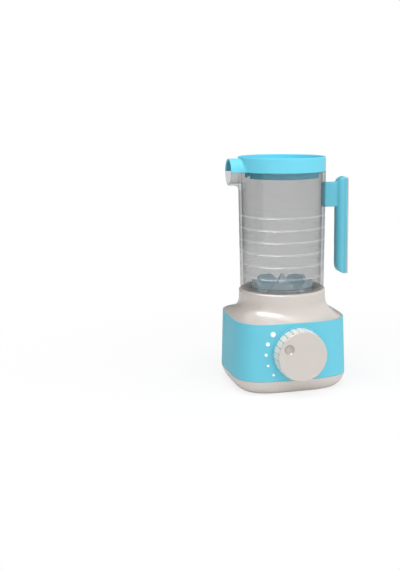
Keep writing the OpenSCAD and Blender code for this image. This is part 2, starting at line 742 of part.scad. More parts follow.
// The grip stands on its side outline, with rounded upright edges
module grip_bar() {
    intersection() {
        translate([0, grip_w / 2, 0]) rotate([90, 0, 0]) linear_extrude(height = grip_w)
            rounded(grip_x, grip_z, grip_back_x, grip_top_z, [toe_r, heel_r, heel_r, brow_r]);
        translate([0, 0, grip_z - over]) linear_extrude(height = grip_len + 2 * over)
            rounded(grip_x, -grip_w / 2, grip_back_x, grip_w / 2,
                    [grip_side_r, heel_r, heel_r, grip_side_r]);
    }
}

module handle_grip() {
    arm_end_x = grip_x + grip_side_r;
    color(blue) difference() {
        union() {
            grip_bar();
            translate([pad_x + fit_gap, -arm_w / 2, arm_z]) cube([arm_end_x - pad_x, arm_w, arm_h]);
            translate([0, arm_w / 2, 0]) rotate([90, 0, 0]) linear_extrude(height = arm_w) difference() {
                translate([grip_x - web_r, arm_z - web_r]) square([web_r + 1, arm_h + 2 * web_r]);
                translate([grip_x - web_r, arm_z - web_r]) circle(r = web_r, $fn = 48);
                translate([grip_x - web_r, arm_top_z + web_r]) circle(r = web_r, $fn = 48);
            }
        }
        at_handle_screws() {
            cylinder(h = finger_gap, r = handle_screw_r + 0.2, $fn = 24);
            mirror([0, 0, 1])
                cylinder(h = grip_back_x - handle_seat_x + over, r = handle_head_r + 0.3, $fn = 32);
        }
    }
}

module handle_back() {
    plate_y = grip_w / 2 - back_in;
    color(pale) translate([grip_back_x + fit_gap, 0, 0]) rotate([90, 0, 90])
        linear_extrude(height = back_t - fit_gap)
            rounded(-plate_y, grip_z + back_in, plate_y, grip_top_z - back_in,
                    [for (k = [0:3]) back_corner_r]);
}

module handle_screws() {
    at_handle_screws() screw(handle_screw_r, handle_seat_x - jug_top_r + jug_wall - 1.4, handle_head_r, 1.8);
}

rotor_z = jug_floor_z + jug_floor_t + bush_flange_t + 0.3;
rotor_disc_t = 2.8;
rotor_r = spigot_r - spigot_wall - 0.7;
vane_out_r = rotor_r - 0.5;

// One vane: a slice of a ring whose leading top corner is rounded
module vane() {
    lead_r = vane_h - 1.5;
    intersection() {
        difference() {
            translate([0, 0, -0.5]) cylinder(h = vane_h + 0.5, r = vane_out_r, $fn = 96);
            translate([0, 0, -over]) cylinder(h = vane_h + 2 * over, r = vane_out_r - vane_t, $fn = 96);
        }
        rotate([90, 0, 90]) linear_extrude(height = rotor_r) union() {
            translate([-vane_w / 2, -0.5]) square([vane_w, vane_h + 0.5 - lead_r]);
            translate([-vane_w / 2 + lead_r, -0.5]) square([vane_w - lead_r, vane_h + 0.5]);
            translate([-vane_w / 2 + lead_r, vane_h - lead_r]) circle(r = lead_r, $fn = 64);
        }
    }
}

spike_r = 9;
rotor_bore_h = 10;

module blade_rotor() {
    color(blue) translate([0, 0, rotor_z]) difference() {
        union() {
            rotate_extrude($fn = 96) polygon([
                [0, 0], [rotor_r - 0.8, 0], [rotor_r, 0.8], [rotor_r, rotor_disc_t],
                [spike_r, rotor_disc_t], [spike_r * 0.45, rotor_disc_t + spike_h * 0.58],
                [1.4, rotor_disc_t + spike_h - 1], [0.7, rotor_disc_t + spike_h],
                [0, rotor_disc_t + spike_h]]);
            for (i = [0:vane_count - 1]) rotate(vane_phase + i * 360 / vane_count)
                translate([0, 0, rotor_disc_t]) vane();
        }
        translate([0, 0, -over]) cylinder(h = rotor_bore_h + over, r = drive_shaft_r + fit_gap, $fn = 48);
    }
}

// The driven coupler hangs just under the jug's floor, its dogs between the drive's
driven_z = jug_floor_z - 0.3;                 // upper face of its disc
driven_disc_t = driven_z - coupler_z - coupler_disc_t - dog_h - 0.3;
driven_hub_h = 1.6;
rotor_screw_r = 1;
rotor_thread_h = 5.5;

module rotor_shaft() {
    bottom_z = driven_z - driven_disc_t - driven_hub_h;
    color(steel) difference() {
        translate([0, 0, bottom_z])
            cylinder(h = rotor_z + rotor_bore_h - 0.2 - bottom_z, r = drive_shaft_r, $fn = 48);
        translate([0, 0, bottom_z - over])
            cylinder(h = over + rotor_thread_h + thread_end, r = rotor_screw_r + thread_gap, $fn = 24);
    }
}

module driven_coupler() {
    color(nylon) translate([0, 0, driven_z]) mirror([0, 0, 1]) difference() {
        union() {
            cylinder(h = driven_disc_t, r = dog_out_r + dog_rim, $fn = 96);
            cylinder(h = driven_disc_t + driven_hub_h, r = drive_shaft_r + 1.6, $fn = 48);
            translate([0, 0, driven_disc_t]) dogs(60);
        }
        translate([0, 0, -over])
            cylinder(h = driven_disc_t + 3 * over, r = drive_shaft_r + fit_gap, $fn = 48);
    }
}

module rotor_screw() {
    translate([0, 0, driven_z - driven_disc_t - driven_hub_h])
        screw(rotor_screw_r, rotor_thread_h, drive_shaft_r + 1, 1.2);
}

// ----------------------------------------------------------------------- lid

module lid() {
    lid_z = rim_z + seat_gap;
    top_z = lid_z + lid_h;
    dish_z = top_z - dish_depth;
    plug_wall = 2;
    step_r = jug_top_r - jug_wall - 0.5;
    step_h = 1.8;
    window_z = dish_z - lid_wall;
    color(blue_lid) difference() {
        union() {
            rotate_extrude($fn = 120) polygon([
                [0, window_z], [plug_r - plug_wall, window_z], [plug_r - plug_wall, rim_z - plug_h],
                [plug_r, rim_z - plug_h], [plug_r, rim_z - step_h], [step_r, rim_z - step_h],
                [step_r, lid_z], [jug_top_r, lid_z], [jug_top_r, top_z - 0.5], [jug_top_r - 0.5, top_z],
                [jug_top_r - lid_wall + 0.5, top_z], [jug_top_r - lid_wall, top_z - 0.5],
                [jug_top_r - lid_wall, dish_z], [0, dish_z]]);
            intersection() {
                translate([-spout_reach, 0, lid_z - seat_gap]) rotate([0, 90, 0])
                    cylinder(h = spout_reach - jug_top_r + lid_wall, r = spout_r, $fn = 64);
                translate([-spout_reach - over, -spout_r - over, lid_z])
                    cube([spout_reach, 2 * (spout_r + over), spout_r + over]);
            }
        }
        translate([-spout_reach - over, 0, rim_z]) rotate([0, 90, 0])
            cylinder(h = spout_reach - jug_top_r + over, r = spout_r - spout_wall, $fn = 64);
        intersection() {
            translate([-spout_reach - over, 0, rim_z]) rotate([0, 90, 0])
                cylinder(h = spout_reach - plug_r + plug_wall + 2 * over, r = spout_r - spout_wall, $fn = 64);
            translate([-spout_reach - 2 * over, -spout_r, rim_z - plug_h - over])
                cube([spout_reach, 2 * spout_r, window_z - rim_z + plug_h + over]);
        }
    }
}

// ---------------------------------------------------------------- the nodes

bottom_housing();
band_shell();
top_cover();
coupling_cup();
speed_dots();
base_screws();
cup_screws();
gear_frame();
frame_screws();
dial_bush();
frame_bush();
lower_bush();
upper_bush();
dial_knob();
dial_shaft();
crown_gear();
gear_screw();
drive_shaft();
drive_pinion();
shaft_clip();
drive_coupler();
jug_body();
rotor_bush();
handle_grip();
handle_back();
handle_screws();
blade_rotor();
rotor_shaft();
driven_coupler();
rotor_screw();
lid();
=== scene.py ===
"""Toy blender: the looks of a child's blender with a dial, a clear jug, a hook handle and a lid.

Metres, in the part's own frame: +Z up, the dial towards -Y, the handle +X, the spout -X.
"""
import math

import bmesh
import bpy
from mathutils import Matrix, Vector


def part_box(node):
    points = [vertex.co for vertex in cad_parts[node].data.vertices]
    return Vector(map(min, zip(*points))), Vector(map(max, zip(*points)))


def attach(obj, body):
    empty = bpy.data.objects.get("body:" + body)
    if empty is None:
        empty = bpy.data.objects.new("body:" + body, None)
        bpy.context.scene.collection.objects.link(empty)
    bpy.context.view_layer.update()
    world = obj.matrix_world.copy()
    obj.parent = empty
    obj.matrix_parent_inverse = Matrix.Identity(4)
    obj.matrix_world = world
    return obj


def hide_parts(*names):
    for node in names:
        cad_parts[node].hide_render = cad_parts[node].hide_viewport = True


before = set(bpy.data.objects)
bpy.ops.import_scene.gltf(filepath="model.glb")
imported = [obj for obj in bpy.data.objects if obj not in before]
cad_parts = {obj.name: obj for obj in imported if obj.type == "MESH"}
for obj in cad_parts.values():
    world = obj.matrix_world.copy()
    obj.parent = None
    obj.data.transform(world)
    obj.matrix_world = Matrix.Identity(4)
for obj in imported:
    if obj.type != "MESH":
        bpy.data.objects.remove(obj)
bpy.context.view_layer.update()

MM = 0.001
TINY = 1e-6     # metres: points closer than this are one point


# ------------------------------------------------------------------ shader maths

class Wire:
    """A shader socket that can be used in sums."""

    def __init__(self, nodes, socket):
        self.nodes = nodes
        self.socket = socket

    def reckon(self, operation, other):
        """A Math node with this wire as its first value."""
        return self.nodes.add("ShaderNodeMath", {"operation": operation}, {0: self, 1: other})

    def __add__(self, other):
        return self.reckon("ADD", other)

    def __sub__(self, other):
        return self.reckon("SUBTRACT", other)

    def __rsub__(self, other):
        return self.nodes.add("ShaderNodeMath", {"operation": "SUBTRACT"}, {0: other, 1: self})

    def __mul__(self, other):
        return self.reckon("MULTIPLY", other)

    def __pow__(self, other):
        return self.reckon("POWER", other)

    __radd__ = __add__
    __rmul__ = __mul__


class Nodes:
    """A node tree to which nodes are added one call at a time."""

    def __init__(self, tree):
        self.tree = tree

    def add(self, kind, settings=None, sockets=None, out=0):
        """Adds a node: its settings first, then a value or a link for each socket. Gives its output."""
        node = self.tree.nodes.new(kind)
        for name, value in (settings or {}).items():
            if name == "stops":
                while len(node.color_ramp.elements) < len(value):
                    node.color_ramp.elements.new(1)
                for stop, (place, grey) in zip(node.color_ramp.elements, value):
                    stop.position = place
                    stop.color = (grey, grey, grey, 1)
            else:
                setattr(node, name, value)
        for name, value in (sockets or {}).items():
            if isinstance(value, Wire):
                self.tree.links.new(value.socket, node.inputs[name])
            else:
                node.inputs[name].default_value = value
        return Wire(self, node.outputs[out])

    def link(self, value, node, socket):
        self.tree.links.new(value.socket, self.tree.nodes[node].inputs[socket])


class Paint(Nodes):
    """A node material with one Principled shader."""

    def __init__(self, name, **fixed):
        self.material = bpy.data.materials.new(name)
        self.material.use_nodes = True
        super().__init__(self.material.node_tree)
        for socket, value in fixed.items():
            self.tree.nodes["Principled BSDF"].inputs[socket.replace("_", " ")].default_value = value

    def spot(self):
        """The point on the object, in metres."""
        return self.add("ShaderNodeTexCoord", out="Object")

    def noise(self, size, detail=2, stretch=(1, 1, 1)):
        """Soft noise from 0 to 1, whose blotches are about size across."""
        place = self.add("ShaderNodeMapping", {}, {"Vector": self.spot(), "Scale": stretch})
        return self.add("ShaderNodeTexNoise", {}, {"Vector": place, "Scale": 1 / size, "Detail": detail})

    def ramp(self, value, *stops):
        """A value turned into greys by stops of (place, grey)."""
        return self.add("ShaderNodeValToRGB", {"stops": stops}, {"Fac": value})

    def blend(self, share, first, second):
        """A mix of two colours."""
        return self.add("ShaderNodeMix", {"data_type": "RGBA"}, {0: share, 6: first, 7: second}, out=2)

    def colour(self, value):
        self.link(value, "Principled BSDF", "Base Color")

    def rough(self, value):
        self.link(value, "Principled BSDF", "Roughness")

    def alpha(self, value):
        self.link(value, "Principled BSDF", "Alpha")

    def bump(self, height, depth, strength):
        """Relief: a height from 0 to 1 stands for depth in metres."""
        relief = self.add("ShaderNodeBump", {}, {"Height": height, "Distance": depth, "Strength": strength})
        self.link(relief, "Principled BSDF", "Normal")


# --------------------------------------------------------------------- finishes

GRAIN = 0.35 * MM
GRAIN_DEPTH = 0.012 * MM
GLOSS_SPREAD = 0.09      # how much the roughness wanders over a moulded face
MARK_REACH = 50 * MM     # distances on the painted light and shade spots are shares of this

CLEAR_HIDE = 0.225       # share of the light that one face of the clear plastic stops
CLEAR_EDGE = 0.65        # how much more it stops where it is seen edge on
CLEAR_GROOVE = 0.05      # and in its grooves
CLEAR_FLOOR_Z = 101 * MM     # below this the thick floor's tint is painted paler, as painted light
HEIGHT_SPAN = 250 * MM       # the height that a ramp from 0 to 1 stands for
FIRST_GROOVE_Z = 111.9 * MM
GROOVE_PITCH = 12.07 * MM
GROOVE_COUNT = 6
GROOVED_FROM = FIRST_GROOVE_Z - 3 * MM
GROOVED_TO = FIRST_GROOVE_Z + (GROOVE_COUNT - 0.7) * GROOVE_PITCH


def srgb(red, green, blue):
    """A colour from its display values, 0 to 255."""
    return tuple(((part / 255 + 0.055) / 1.055) ** 2.4 for part in (red, green, blue)) + (1,)


def tinted(colour, factor):
    return tuple(part * factor for part in colour[:3]) + (1,)


def moulded_plastic(name, colour, gloss, shine=0.5, ior=1.5, painted_light_marks=()):
    """Satin moulded plastic: faint flow streaks in the colour, uneven gloss, a fine mould grain.

    Each painted light or shade spot is a place, a ramp over the distance from it, and the colour painted
    there."""
    paint = Paint(name, IOR=ior, Specular_IOR_Level=shine)
    flow = paint.noise(24 * MM, detail=3)
    haze = paint.noise(6 * MM, detail=4)
    shade = paint.blend(flow, tinted(colour, 0.97), tinted(colour, 1.03))
    # painted light and shade: each spot lays a painted colour over the plastic's own
    for place, stops, second in painted_light_marks:
        away = paint.add("ShaderNodeVectorMath", {"operation": "DISTANCE"},
                         {0: paint.spot(), 1: place}, out="Value")
        shade = paint.blend(paint.ramp(away * (1 / MARK_REACH), *stops), shade, second)
    paint.colour(shade)
    paint.rough(haze * GLOSS_SPREAD + (gloss - GLOSS_SPREAD / 2))
    paint.bump(paint.noise(GRAIN, detail=3), GRAIN_DEPTH, 0.5)
    return paint.material


def printed_white(name):
    """White inlay with a slightly pebbled face."""
    paint = Paint(name, IOR=1.5)
    paint.colour(paint.blend(paint.noise(1.5 * MM), srgb(255, 255, 255), srgb(248, 251, 252)))
    paint.rough(paint.noise(0.8 * MM) * 0.15 + 0.3)
    paint.bump(paint.noise(0.4 * MM), 0.01 * MM, 0.5)
    return paint.material


def clear_plastic(name):
    """Smoke-clear rigid plastic: thin grey tint, polished, denser edge on, painted paler in its grooves as
    painted highlight lines and paler in its floor as painted light.
    """
    paint = Paint(name, IOR=1.95, Specular_IOR_Level=1.0)

    def level(z, grey):
        """A ramp stop at a height."""
        return z / HEIGHT_SPAN, grey

    height = paint.add("ShaderNodeSeparateXYZ", {}, {"Vector": paint.spot()}, out="Z")
    rise = height * (1 / HEIGHT_SPAN)
    off_groove = (height - FIRST_GROOVE_Z).reckon("PINGPONG", GROOVE_PITCH / 2)
    groove = paint.ramp(off_groove * (1 / MM), (0.5, 1.0), (0.95, 0.0))
    groove = groove * paint.ramp(rise, level(GROOVED_FROM, 0.0), level(GROOVED_FROM + 1 * MM, 1.0),
                                 level(GROOVED_TO, 1.0), level(GROOVED_TO + 0.1 * GROOVE_PITCH, 0.0))
    tint = paint.blend(paint.noise(30 * MM), srgb(52, 54, 56), srgb(66, 68, 69))
    # painted light: the jug's floor is painted a paler grey than its wall
    in_floor = paint.ramp(rise, level(CLEAR_FLOOR_Z, 1.0), level(CLEAR_FLOOR_Z + 0.8 * MM, 0.0))
    tint = paint.blend(in_floor, tint, srgb(146, 143, 140))
    # painted highlight: the grooves get a pale grey that draws them as light lines
    paint.colour(paint.blend(groove, tint, srgb(196, 198, 200)))
    paint.rough(paint.noise(9 * MM, detail=3) * 0.05 + 0.07)
    edge = paint.add("ShaderNodeLayerWeight", {}, {"Blend": 0.5}, out="Facing")
    paint.alpha((edge ** 4) * CLEAR_EDGE + groove * CLEAR_GROOVE + CLEAR_HIDE)
    paint.bump(paint.noise(14 * MM, detail=1), 0.05 * MM, 0.3)
    return paint.material


def nylon(name):
    """Natural nylon: waxy off-white with mould flow and a matt skin."""
    paint = Paint(name, IOR=1.53)
    flow = paint.noise(7 * MM, detail=4)
    paint.colour(paint.blend(flow, srgb(226, 222, 208), srgb(243, 240, 230)))
    paint.rough(paint.noise(1.2 * MM) * 0.16 + 0.4)
    paint.bump(paint.noise(0.3 * MM, detail=3), 0.02 * MM, 0.6)
    return paint.material


def plated_steel(name):
    """Zinc-plated steel with fine turning lines round and along the part."""
    paint = Paint(name, Metallic=1.0)
    lines = paint.noise(0.25 * MM, detail=3, stretch=(1, 1, 8))
    stain = paint.noise(4 * MM, detail=3)
    paint.colour(paint.blend(stain, srgb(178, 182, 186), srgb(204, 206, 207)))
    paint.rough(lines * 0.2 + 0.2)
    paint.bump(lines, 0.008 * MM, 0.6)
    return paint.material


def sintered_bronze(name):
    """Oil-soaked sintered bronze: open grain with darker pores."""
    paint = Paint(name, Metallic=1.0)
    pores = paint.ramp(paint.noise(0.35 * MM, detail=4), (0.36, 0.0), (0.5, 1.0))
    paint.colour(paint.blend(pores, srgb(118, 88, 48), srgb(196, 158, 96)))
    paint.rough(0.52 - pores * 0.14)
    paint.bump(pores, 0.03 * MM, 0.7)
    return paint.material


PALE = srgb(200, 192, 186)
DIAL_PALE = srgb(196, 188, 182)
# painted shade colour, darker, for the dial's dimple
DIMPLE_SHADE_PALE = srgb(172, 163, 158)
# painted light colour, paler, for the dial's skirt
SKIRT_LIT_PALE = srgb(236, 232, 226)
BAND_BLUE = srgb(109, 197, 217)
LID_BLUE = srgb(112, 208, 230)
# painted shade colour for the inside of the spout
BORE_SHADE_BLUE = srgb(82, 152, 170)
HANDLE_BLUE = srgb(101, 190, 211)
ROTOR_BLUE = srgb(182, 210, 219)

pale_plastic = moulded_plastic("pale_plastic_finish", PALE, gloss=0.22, shine=1.0, ior=1.58)
band_plastic = moulded_plastic("band_finish", BAND_BLUE, gloss=0.42, shine=0.14)
handle_plastic = moulded_plastic("handle_finish", HANDLE_BLUE, gloss=0.34, shine=0.35)
rotor_plastic = moulded_plastic("rotor_finish", ROTOR_BLUE, gloss=0.35)
dot_white = printed_white("dot_finish")
jug_clear = clear_plastic("jug_finish")
gear_nylon = nylon("gear_finish")
shaft_steel = plated_steel("steel_finish")
bush_bronze = sintered_bronze("bush_finish")


# ------------------------------------------------------------------- modelling

ROUND_STEP = 0.15 * MM     # a turned corner gets about one facet for each of these
CUT_OVER = 30 * MM         # how far a cutting block reaches past what it cuts


def only(*pieces):
    """Selects just these pieces; the first is the active one."""
    bpy.ops.object.select_all(action="DESELECT")
    for piece in pieces:
        piece.select_set(True)
    bpy.context.view_layer.objects.active = pieces[0]


def begin(name, add, **settings):
    """Adds a primitive as a new object and opens it in edit mode, all selected."""
    bpy.ops.object.select_all(action="DESELECT")
    add(**settings)
    piece = bpy.context.active_object
    piece.name = name
    piece.data.name = name
    bpy.ops.object.mode_set(mode="EDIT")
    bpy.ops.mesh.select_mode(type="VERT")
    bpy.ops.mesh.select_all(action="SELECT")
    return piece


def settle(piece):
    """Leaves edit mode and puts the piece's place, turn and scale into its mesh."""
    if piece.mode == "EDIT":
        bpy.ops.object.mode_set(mode="OBJECT")
    only(piece)
    bpy.ops.object.transform_apply(location=True, rotation=True, scale=True)
    return piece


def pick(piece, test, kind="VERT"):
    """In edit mode, selects the vertices that pass test, or the edges whose two vertices both do."""
    bpy.ops.mesh.select_all(action="DESELECT")
    bpy.ops.mesh.select_mode(type=kind)
    mesh = bmesh.from_edit_mesh(piece.data)
    if kind == "VERT":
        for vertex in mesh.verts:
            vertex.select_set(bool(test(vertex.co)))
    else:
        for edge in mesh.edges:
            edge.select_set(all(test(vertex.co) for vertex in edge.verts))
    bmesh.update_edit_mesh(piece.data)


def near(point):
    """A test for the vertices at a point."""
    return lambda co: (co - point).length < TINY


def along_y(x, z):
    """A test for the edge that runs along Y at x, z."""
    return lambda co: abs(co.x - x) < TINY and abs(co.z - z) < TINY


def along_x(y, z):
    """A test for the edge that runs along X at y, z."""
    return lambda co: abs(co.y - y) < TINY and abs(co.z - z) < TINY


def round_edges(piece, test, radius, segments, profile=0.5):
    """In edit mode, rounds the edges that pass test."""
    pick(piece, test, "EDGE")
    bpy.ops.mesh.bevel(offset=radius, segments=segments, profile=profile, affect="EDGES")


def merge_and_face_out():
    """In edit mode, merges doubles and turns every face outwards."""
    bpy.ops.mesh.select_all(action="SELECT")
    bpy.ops.mesh.remove_doubles(threshold=TINY)
    bpy.ops.mesh.normals_make_consistent(inside=False)


def apply_modifier(piece, kind, **settings):
    """Adds a modifier to the piece and applies it."""
    only(piece)
    modifier = piece.modifiers.new(kind.lower(), kind)
    for name, value in settings.items():
        setattr(modifier, name, value)
    bpy.ops.object.modifier_apply(modifier=modifier.name)


def combine(piece, tool, operation):
    """Adds, cuts or keeps what is common with another closed piece, which is used up."""
    apply_modifier(piece, "BOOLEAN", operation=operation, solver="EXACT", object=tool)
    bpy.data.objects.remove(tool)


def join(piece, *others):
    """Makes others part of the piece."""
    only(piece, *others)
    bpy.ops.object.join()


def soften(piece, width, segments):
    """Rounds every edge that turns by more than 35 degrees."""
    apply_modifier(piece, "BEVEL", width=width, segments=segments, limit_method="ANGLE",
                   angle_limit=math.radians(35), use_clamp_overlap=True, harden_normals=False)


def show(piece, body, slot, finish, *nodes, smooth=35):
    """The finished piece gets its shading and finish, rides on its body and stands for its nodes."""
    settle(piece)
    bpy.ops.object.shade_smooth_by_angle(angle=math.radians(smooth))
    apply_modifier(piece, "WEIGHTED_NORMAL", mode="FACE_AREA", weight=50, keep_sharp=True)
    piece.data.materials.clear()
    piece.data.materials.append(finish)
    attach(piece, body)
    if nodes:
        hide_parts(*nodes)


def turned(name, corners, steps=144, closed=True):
    """A turned solid about Z: a chain of (radius, height, rounding) corners, rounded and spun."""
    piece = begin(name, bpy.ops.mesh.primitive_plane_add, size=MM)
    bpy.ops.mesh.merge(type="CENTER")
    places = [Vector((radius, 0, height)) for radius, height, _ in corners]
    bpy.ops.transform.translate(value=places[0])
    for here, there in zip(places, places[1:]):
        bpy.ops.mesh.extrude_vertices_move(TRANSFORM_OT_translate={"value": there - here})
    if closed:
        pick(piece, lambda co: near(places[0])(co) or near(places[-1])(co))
        bpy.ops.mesh.edge_face_add()
    for place, (_, _, rounding) in zip(places, corners):
        if rounding:
            pick(piece, near(place))
            bpy.ops.mesh.bevel(offset=rounding, offset_type="OFFSET", affect="VERTICES",
                               segments=max(3, min(8, round(rounding / ROUND_STEP))))
    bpy.ops.mesh.select_all(action="SELECT")
    bpy.ops.mesh.spin(steps=steps, angle=math.tau, center=(0, 0, 0), axis=(0, 0, 1))
    merge_and_face_out()
    bpy.ops.mesh.delete_loose()
    return settle(piece)


def facing_front(piece, y, z):
    """Turns a piece that was made about Z so that its axis points to -Y, with its foot at y, z."""
    piece.rotation_euler = (math.radians(90), 0, 0)
    piece.location = (0, y, z)
    return settle(piece)


def block(name, low, high):
    """A plain block between two corners, to be shaped or to cut with."""
    size = Vector(high) - Vector(low)
    piece = begin(name, bpy.ops.mesh.primitive_cube_add, size=1, scale=size,
                  location=(Vector(low) + Vector(high)) / 2)
    return settle(piece)


class Shell:
    """A shell of rounded-square rings, drawn ring by ring with extrude and scale."""

    CORNER_SEGMENTS = 26
    SQUARENESS = 3.8     # 2 is an ellipse
    MERGE = 1e-4         # on a square that is still 2 m wide

    def __init__(self, name, half_x, half_y, z):
        self.piece = begin(name, bpy.ops.mesh.primitive_plane_add, size=2)
        bpy.ops.mesh.bevel(offset=1, offset_type="OFFSET", affect="VERTICES", clamp_overlap=False,
                           segments=self.CORNER_SEGMENTS, profile=2 ** (-2 / self.SQUARENESS))
        bpy.ops.mesh.remove_doubles(threshold=self.MERGE)
        bpy.ops.mesh.delete(type="ONLY_FACE")
        bpy.ops.mesh.select_all(action="SELECT")
        bpy.ops.transform.resize(value=(half_x, half_y, 1))
        bpy.ops.transform.translate(value=(0, 0, z))
        self.size = (half_x, half_y)
        self.z = z

    def grow(self, factor_x, factor_y, z):
        """Extrudes the last ring up to z and scales it."""
        bpy.ops.mesh.extrude_region_move(TRANSFORM_OT_translate={"value": (0, 0, z - self.z)})
        bpy.ops.transform.resize(value=(factor_x, factor_y, 1), center_override=(0, 0, 0))
        self.z = z

    def to(self, half_x, half_y, z):
        """Extrudes the last ring to its next place and size."""
        self.grow(half_x / self.size[0], half_y / self.size[1], z)
        self.size = (half_x, half_y)

    def inset_to(self, half_x, half_y, inset, z):
        self.to(half_x - inset, half_y - inset, z)

    def edge_up(self, half_x, half_y, radius, z):
        """Rounds over a lower outer edge: from radius inside the outline up to its full size."""
        for turn in (30, 60, 90):
            self.inset_to(half_x, half_y, radius * (1 - math.sin(math.radians(turn))),
                          z + radius * (1 - math.cos(math.radians(turn))))

    def edge_in(self, half_x, half_y, radius, z):
        """Rounds over an upper outer edge that ends at height z."""
        for turn in (0, 30, 60, 90):
            self.inset_to(half_x, half_y, radius * (1 - math.cos(math.radians(turn))),
                          z - radius * (1 - math.sin(math.radians(turn))))

    def toward_circle(self, share, radius, z):
        """Extrudes the last ring up and moves it a share of the way to a circle of that radius."""
        mesh = bmesh.from_edit_mesh(self.piece.data)
        ring = [vertex.co.xy.length for vertex in mesh.verts if vertex.select]
        kept = 1 - share
        factor = kept + share * radius / (sum(ring) / len(ring))
        self.grow(factor, factor, z)
        bpy.ops.transform.tosphere(value=1 - kept / factor, center_override=(0, 0, z))

    def cap(self):
        """Closes the last ring with one face."""
        bpy.ops.mesh.edge_face_add()

    def done(self, wall=0):
        """Merges, turns outwards and, with a wall, gives the shell its thickness."""
        merge_and_face_out()
        settle(self.piece)
        if wall:
            apply_modifier(self.piece, "SOLIDIFY", thickness=wall, offset=-1, use_even_offset=True)
        return self.piece


# ------------------------------------------------------------------------ base

band_low, band_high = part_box("band_shell")
cover_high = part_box("top_cover")[1]
dial_low, dial_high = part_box("dial_knob")

BOTTOM_X = band_high.x
BOTTOM_Y = band_high.y
TOP_X = BOTTOM_X - 1.7 * MM
TOP_Y = BOTTOM_Y - 1.6 * MM
BAND_Z = band_low.z
COVER_Z = band_high.z
COLLAR_Z = cover_high.z

SHELL_WALL = 1.8 * MM
SEAM_ROUND = 0.4 * MM
SEAM_GAP = 0.1 * MM
LIP_IN = 2.45 * MM       # how far the lips of foot and cover lie inside the outline
LIP_H = 4.8 * MM
LIP_T = 1.6 * MM

FOOT_INSET = 11 * MM     # how far the foot curves in at the table
FOOT_FLAT_IN = 1.2 * MM
FOOT_POWER = 1.67
FOOT_RINGS = 18          # closer together towards the table
SCREW_X = 37 * MM
SCREW_Y = 35.5 * MM
SCREW_WELL_R = 3.2 * MM
SCREW_WELL_H = 3 * MM


def foot_inset(share):
    """How far the foot curves in at a share of its height."""
    return FOOT_INSET * (1 - (1 - (1 - share) ** FOOT_POWER) ** (1 / FOOT_POWER))


def make_foot():
    """The pale foot: a shell with a curved side, a lip for the band and four screw wells."""
    flat_in = FOOT_INSET + FOOT_FLAT_IN
    shell = Shell("foot_shell", BOTTOM_X - flat_in, BOTTOM_Y - flat_in, 0)
    shell.cap()
    for step in range(FOOT_RINGS + 1):
        share = (step / FOOT_RINGS) ** 2
        if share * BAND_Z < BAND_Z - SEAM_ROUND:
            shell.inset_to(BOTTOM_X, BOTTOM_Y, foot_inset(share), share * BAND_Z)
    shell.edge_in(BOTTOM_X, BOTTOM_Y, SEAM_ROUND, BAND_Z - SEAM_GAP)
    shell.inset_to(BOTTOM_X, BOTTOM_Y, LIP_IN, BAND_Z - SEAM_GAP)
    shell.inset_to(BOTTOM_X, BOTTOM_Y, LIP_IN, BAND_Z + LIP_H)
    foot = shell.done(wall=SHELL_WALL)
    for side_x in (-1, 1):
        for side_y in (-1, 1):
            well = begin("well", bpy.ops.mesh.primitive_cylinder_add, vertices=40, radius=SCREW_WELL_R,
                         depth=2 * SCREW_WELL_H, location=(side_x * SCREW_X, side_y * SCREW_Y, 0))
            combine(foot, settle(well), "DIFFERENCE")
    show(foot, "base", "pale_plastic", pale_plastic, "bottom_housing", smooth=30)


BAND_WALL = 2.2 * MM
RIM_W = 0.72 * MM
RIM_PROUD = 0.35 * MM
REBATE_Z = COVER_Z - 0.3 * MM     # the ledge inside the rim that carries the cover


def make_band():
    """The light-blue band, whose rim stands a little proud of the cover."""
    shell = Shell("band", BOTTOM_X - BAND_WALL, BOTTOM_Y - BAND_WALL, BAND_Z)
    shell.inset_to(BOTTOM_X, BOTTOM_Y, SEAM_ROUND, BAND_Z)
    shell.edge_up(BOTTOM_X, BOTTOM_Y, SEAM_ROUND, BAND_Z)
    shell.edge_in(TOP_X, TOP_Y, SEAM_ROUND, COVER_Z + RIM_PROUD)
    shell.inset_to(TOP_X, TOP_Y, RIM_W, COVER_Z + RIM_PROUD)
    shell.inset_to(TOP_X, TOP_Y, RIM_W, REBATE_Z)
    shell.inset_to(TOP_X, TOP_Y, BAND_WALL, REBATE_Z)
    shell.inset_to(BOTTOM_X, BOTTOM_Y, BAND_WALL, BAND_Z)
    show(shell.done(), "base", "blue_plastic", band_plastic, "band_shell", smooth=30)


DIAL_R = (dial_high.x - dial_low.x) / 2
DIAL_Z = (dial_low.z + dial_high.z) / 2
SEAT_R = DIAL_R + 1.3 * MM
SEAT_BORE = 6.6 * MM
SEAT_Y = band_low.y
SEAT_T = 2.0 * MM


def make_seat():
    """The low round pad of the band behind the dial."""
    pad = turned("dial_seat", [(SEAT_BORE, 0, 0), (SEAT_R, 0, 0), (SEAT_R, SEAT_T, 0.7 * MM),
                               (SEAT_BORE, SEAT_T, 0.4 * MM)])
    show(facing_front(pad, SEAT_Y + SEAT_T, DIAL_Z), "base", "blue_plastic", band_plastic)


COVER_X = cover_high.x
COVER_Y = cover_high.y
COVER_FOOT_Z = COVER_Z - 0.25 * MM
COVER_EDGE_H = 0.2 * MM
COVER_EDGE_IN = 1.2 * MM
COVER_LIP_RISE = 0.6 * MM     # how far the lip runs up into the flare
COLLAR_R = 44 * MM
COLLAR_ROUND = 2.4 * MM
FLARE_POWER = 4.7       # how soon the outline turns round on the way up
FLARE_RINGS = 26
FLARE_START = 0.012     # the first ring's share of the cover's height
RECESS_R = 34 * MM
RECESS_ROUND = 0.9 * MM
RECESS_END_Z = COLLAR_Z - 11.5 * MM


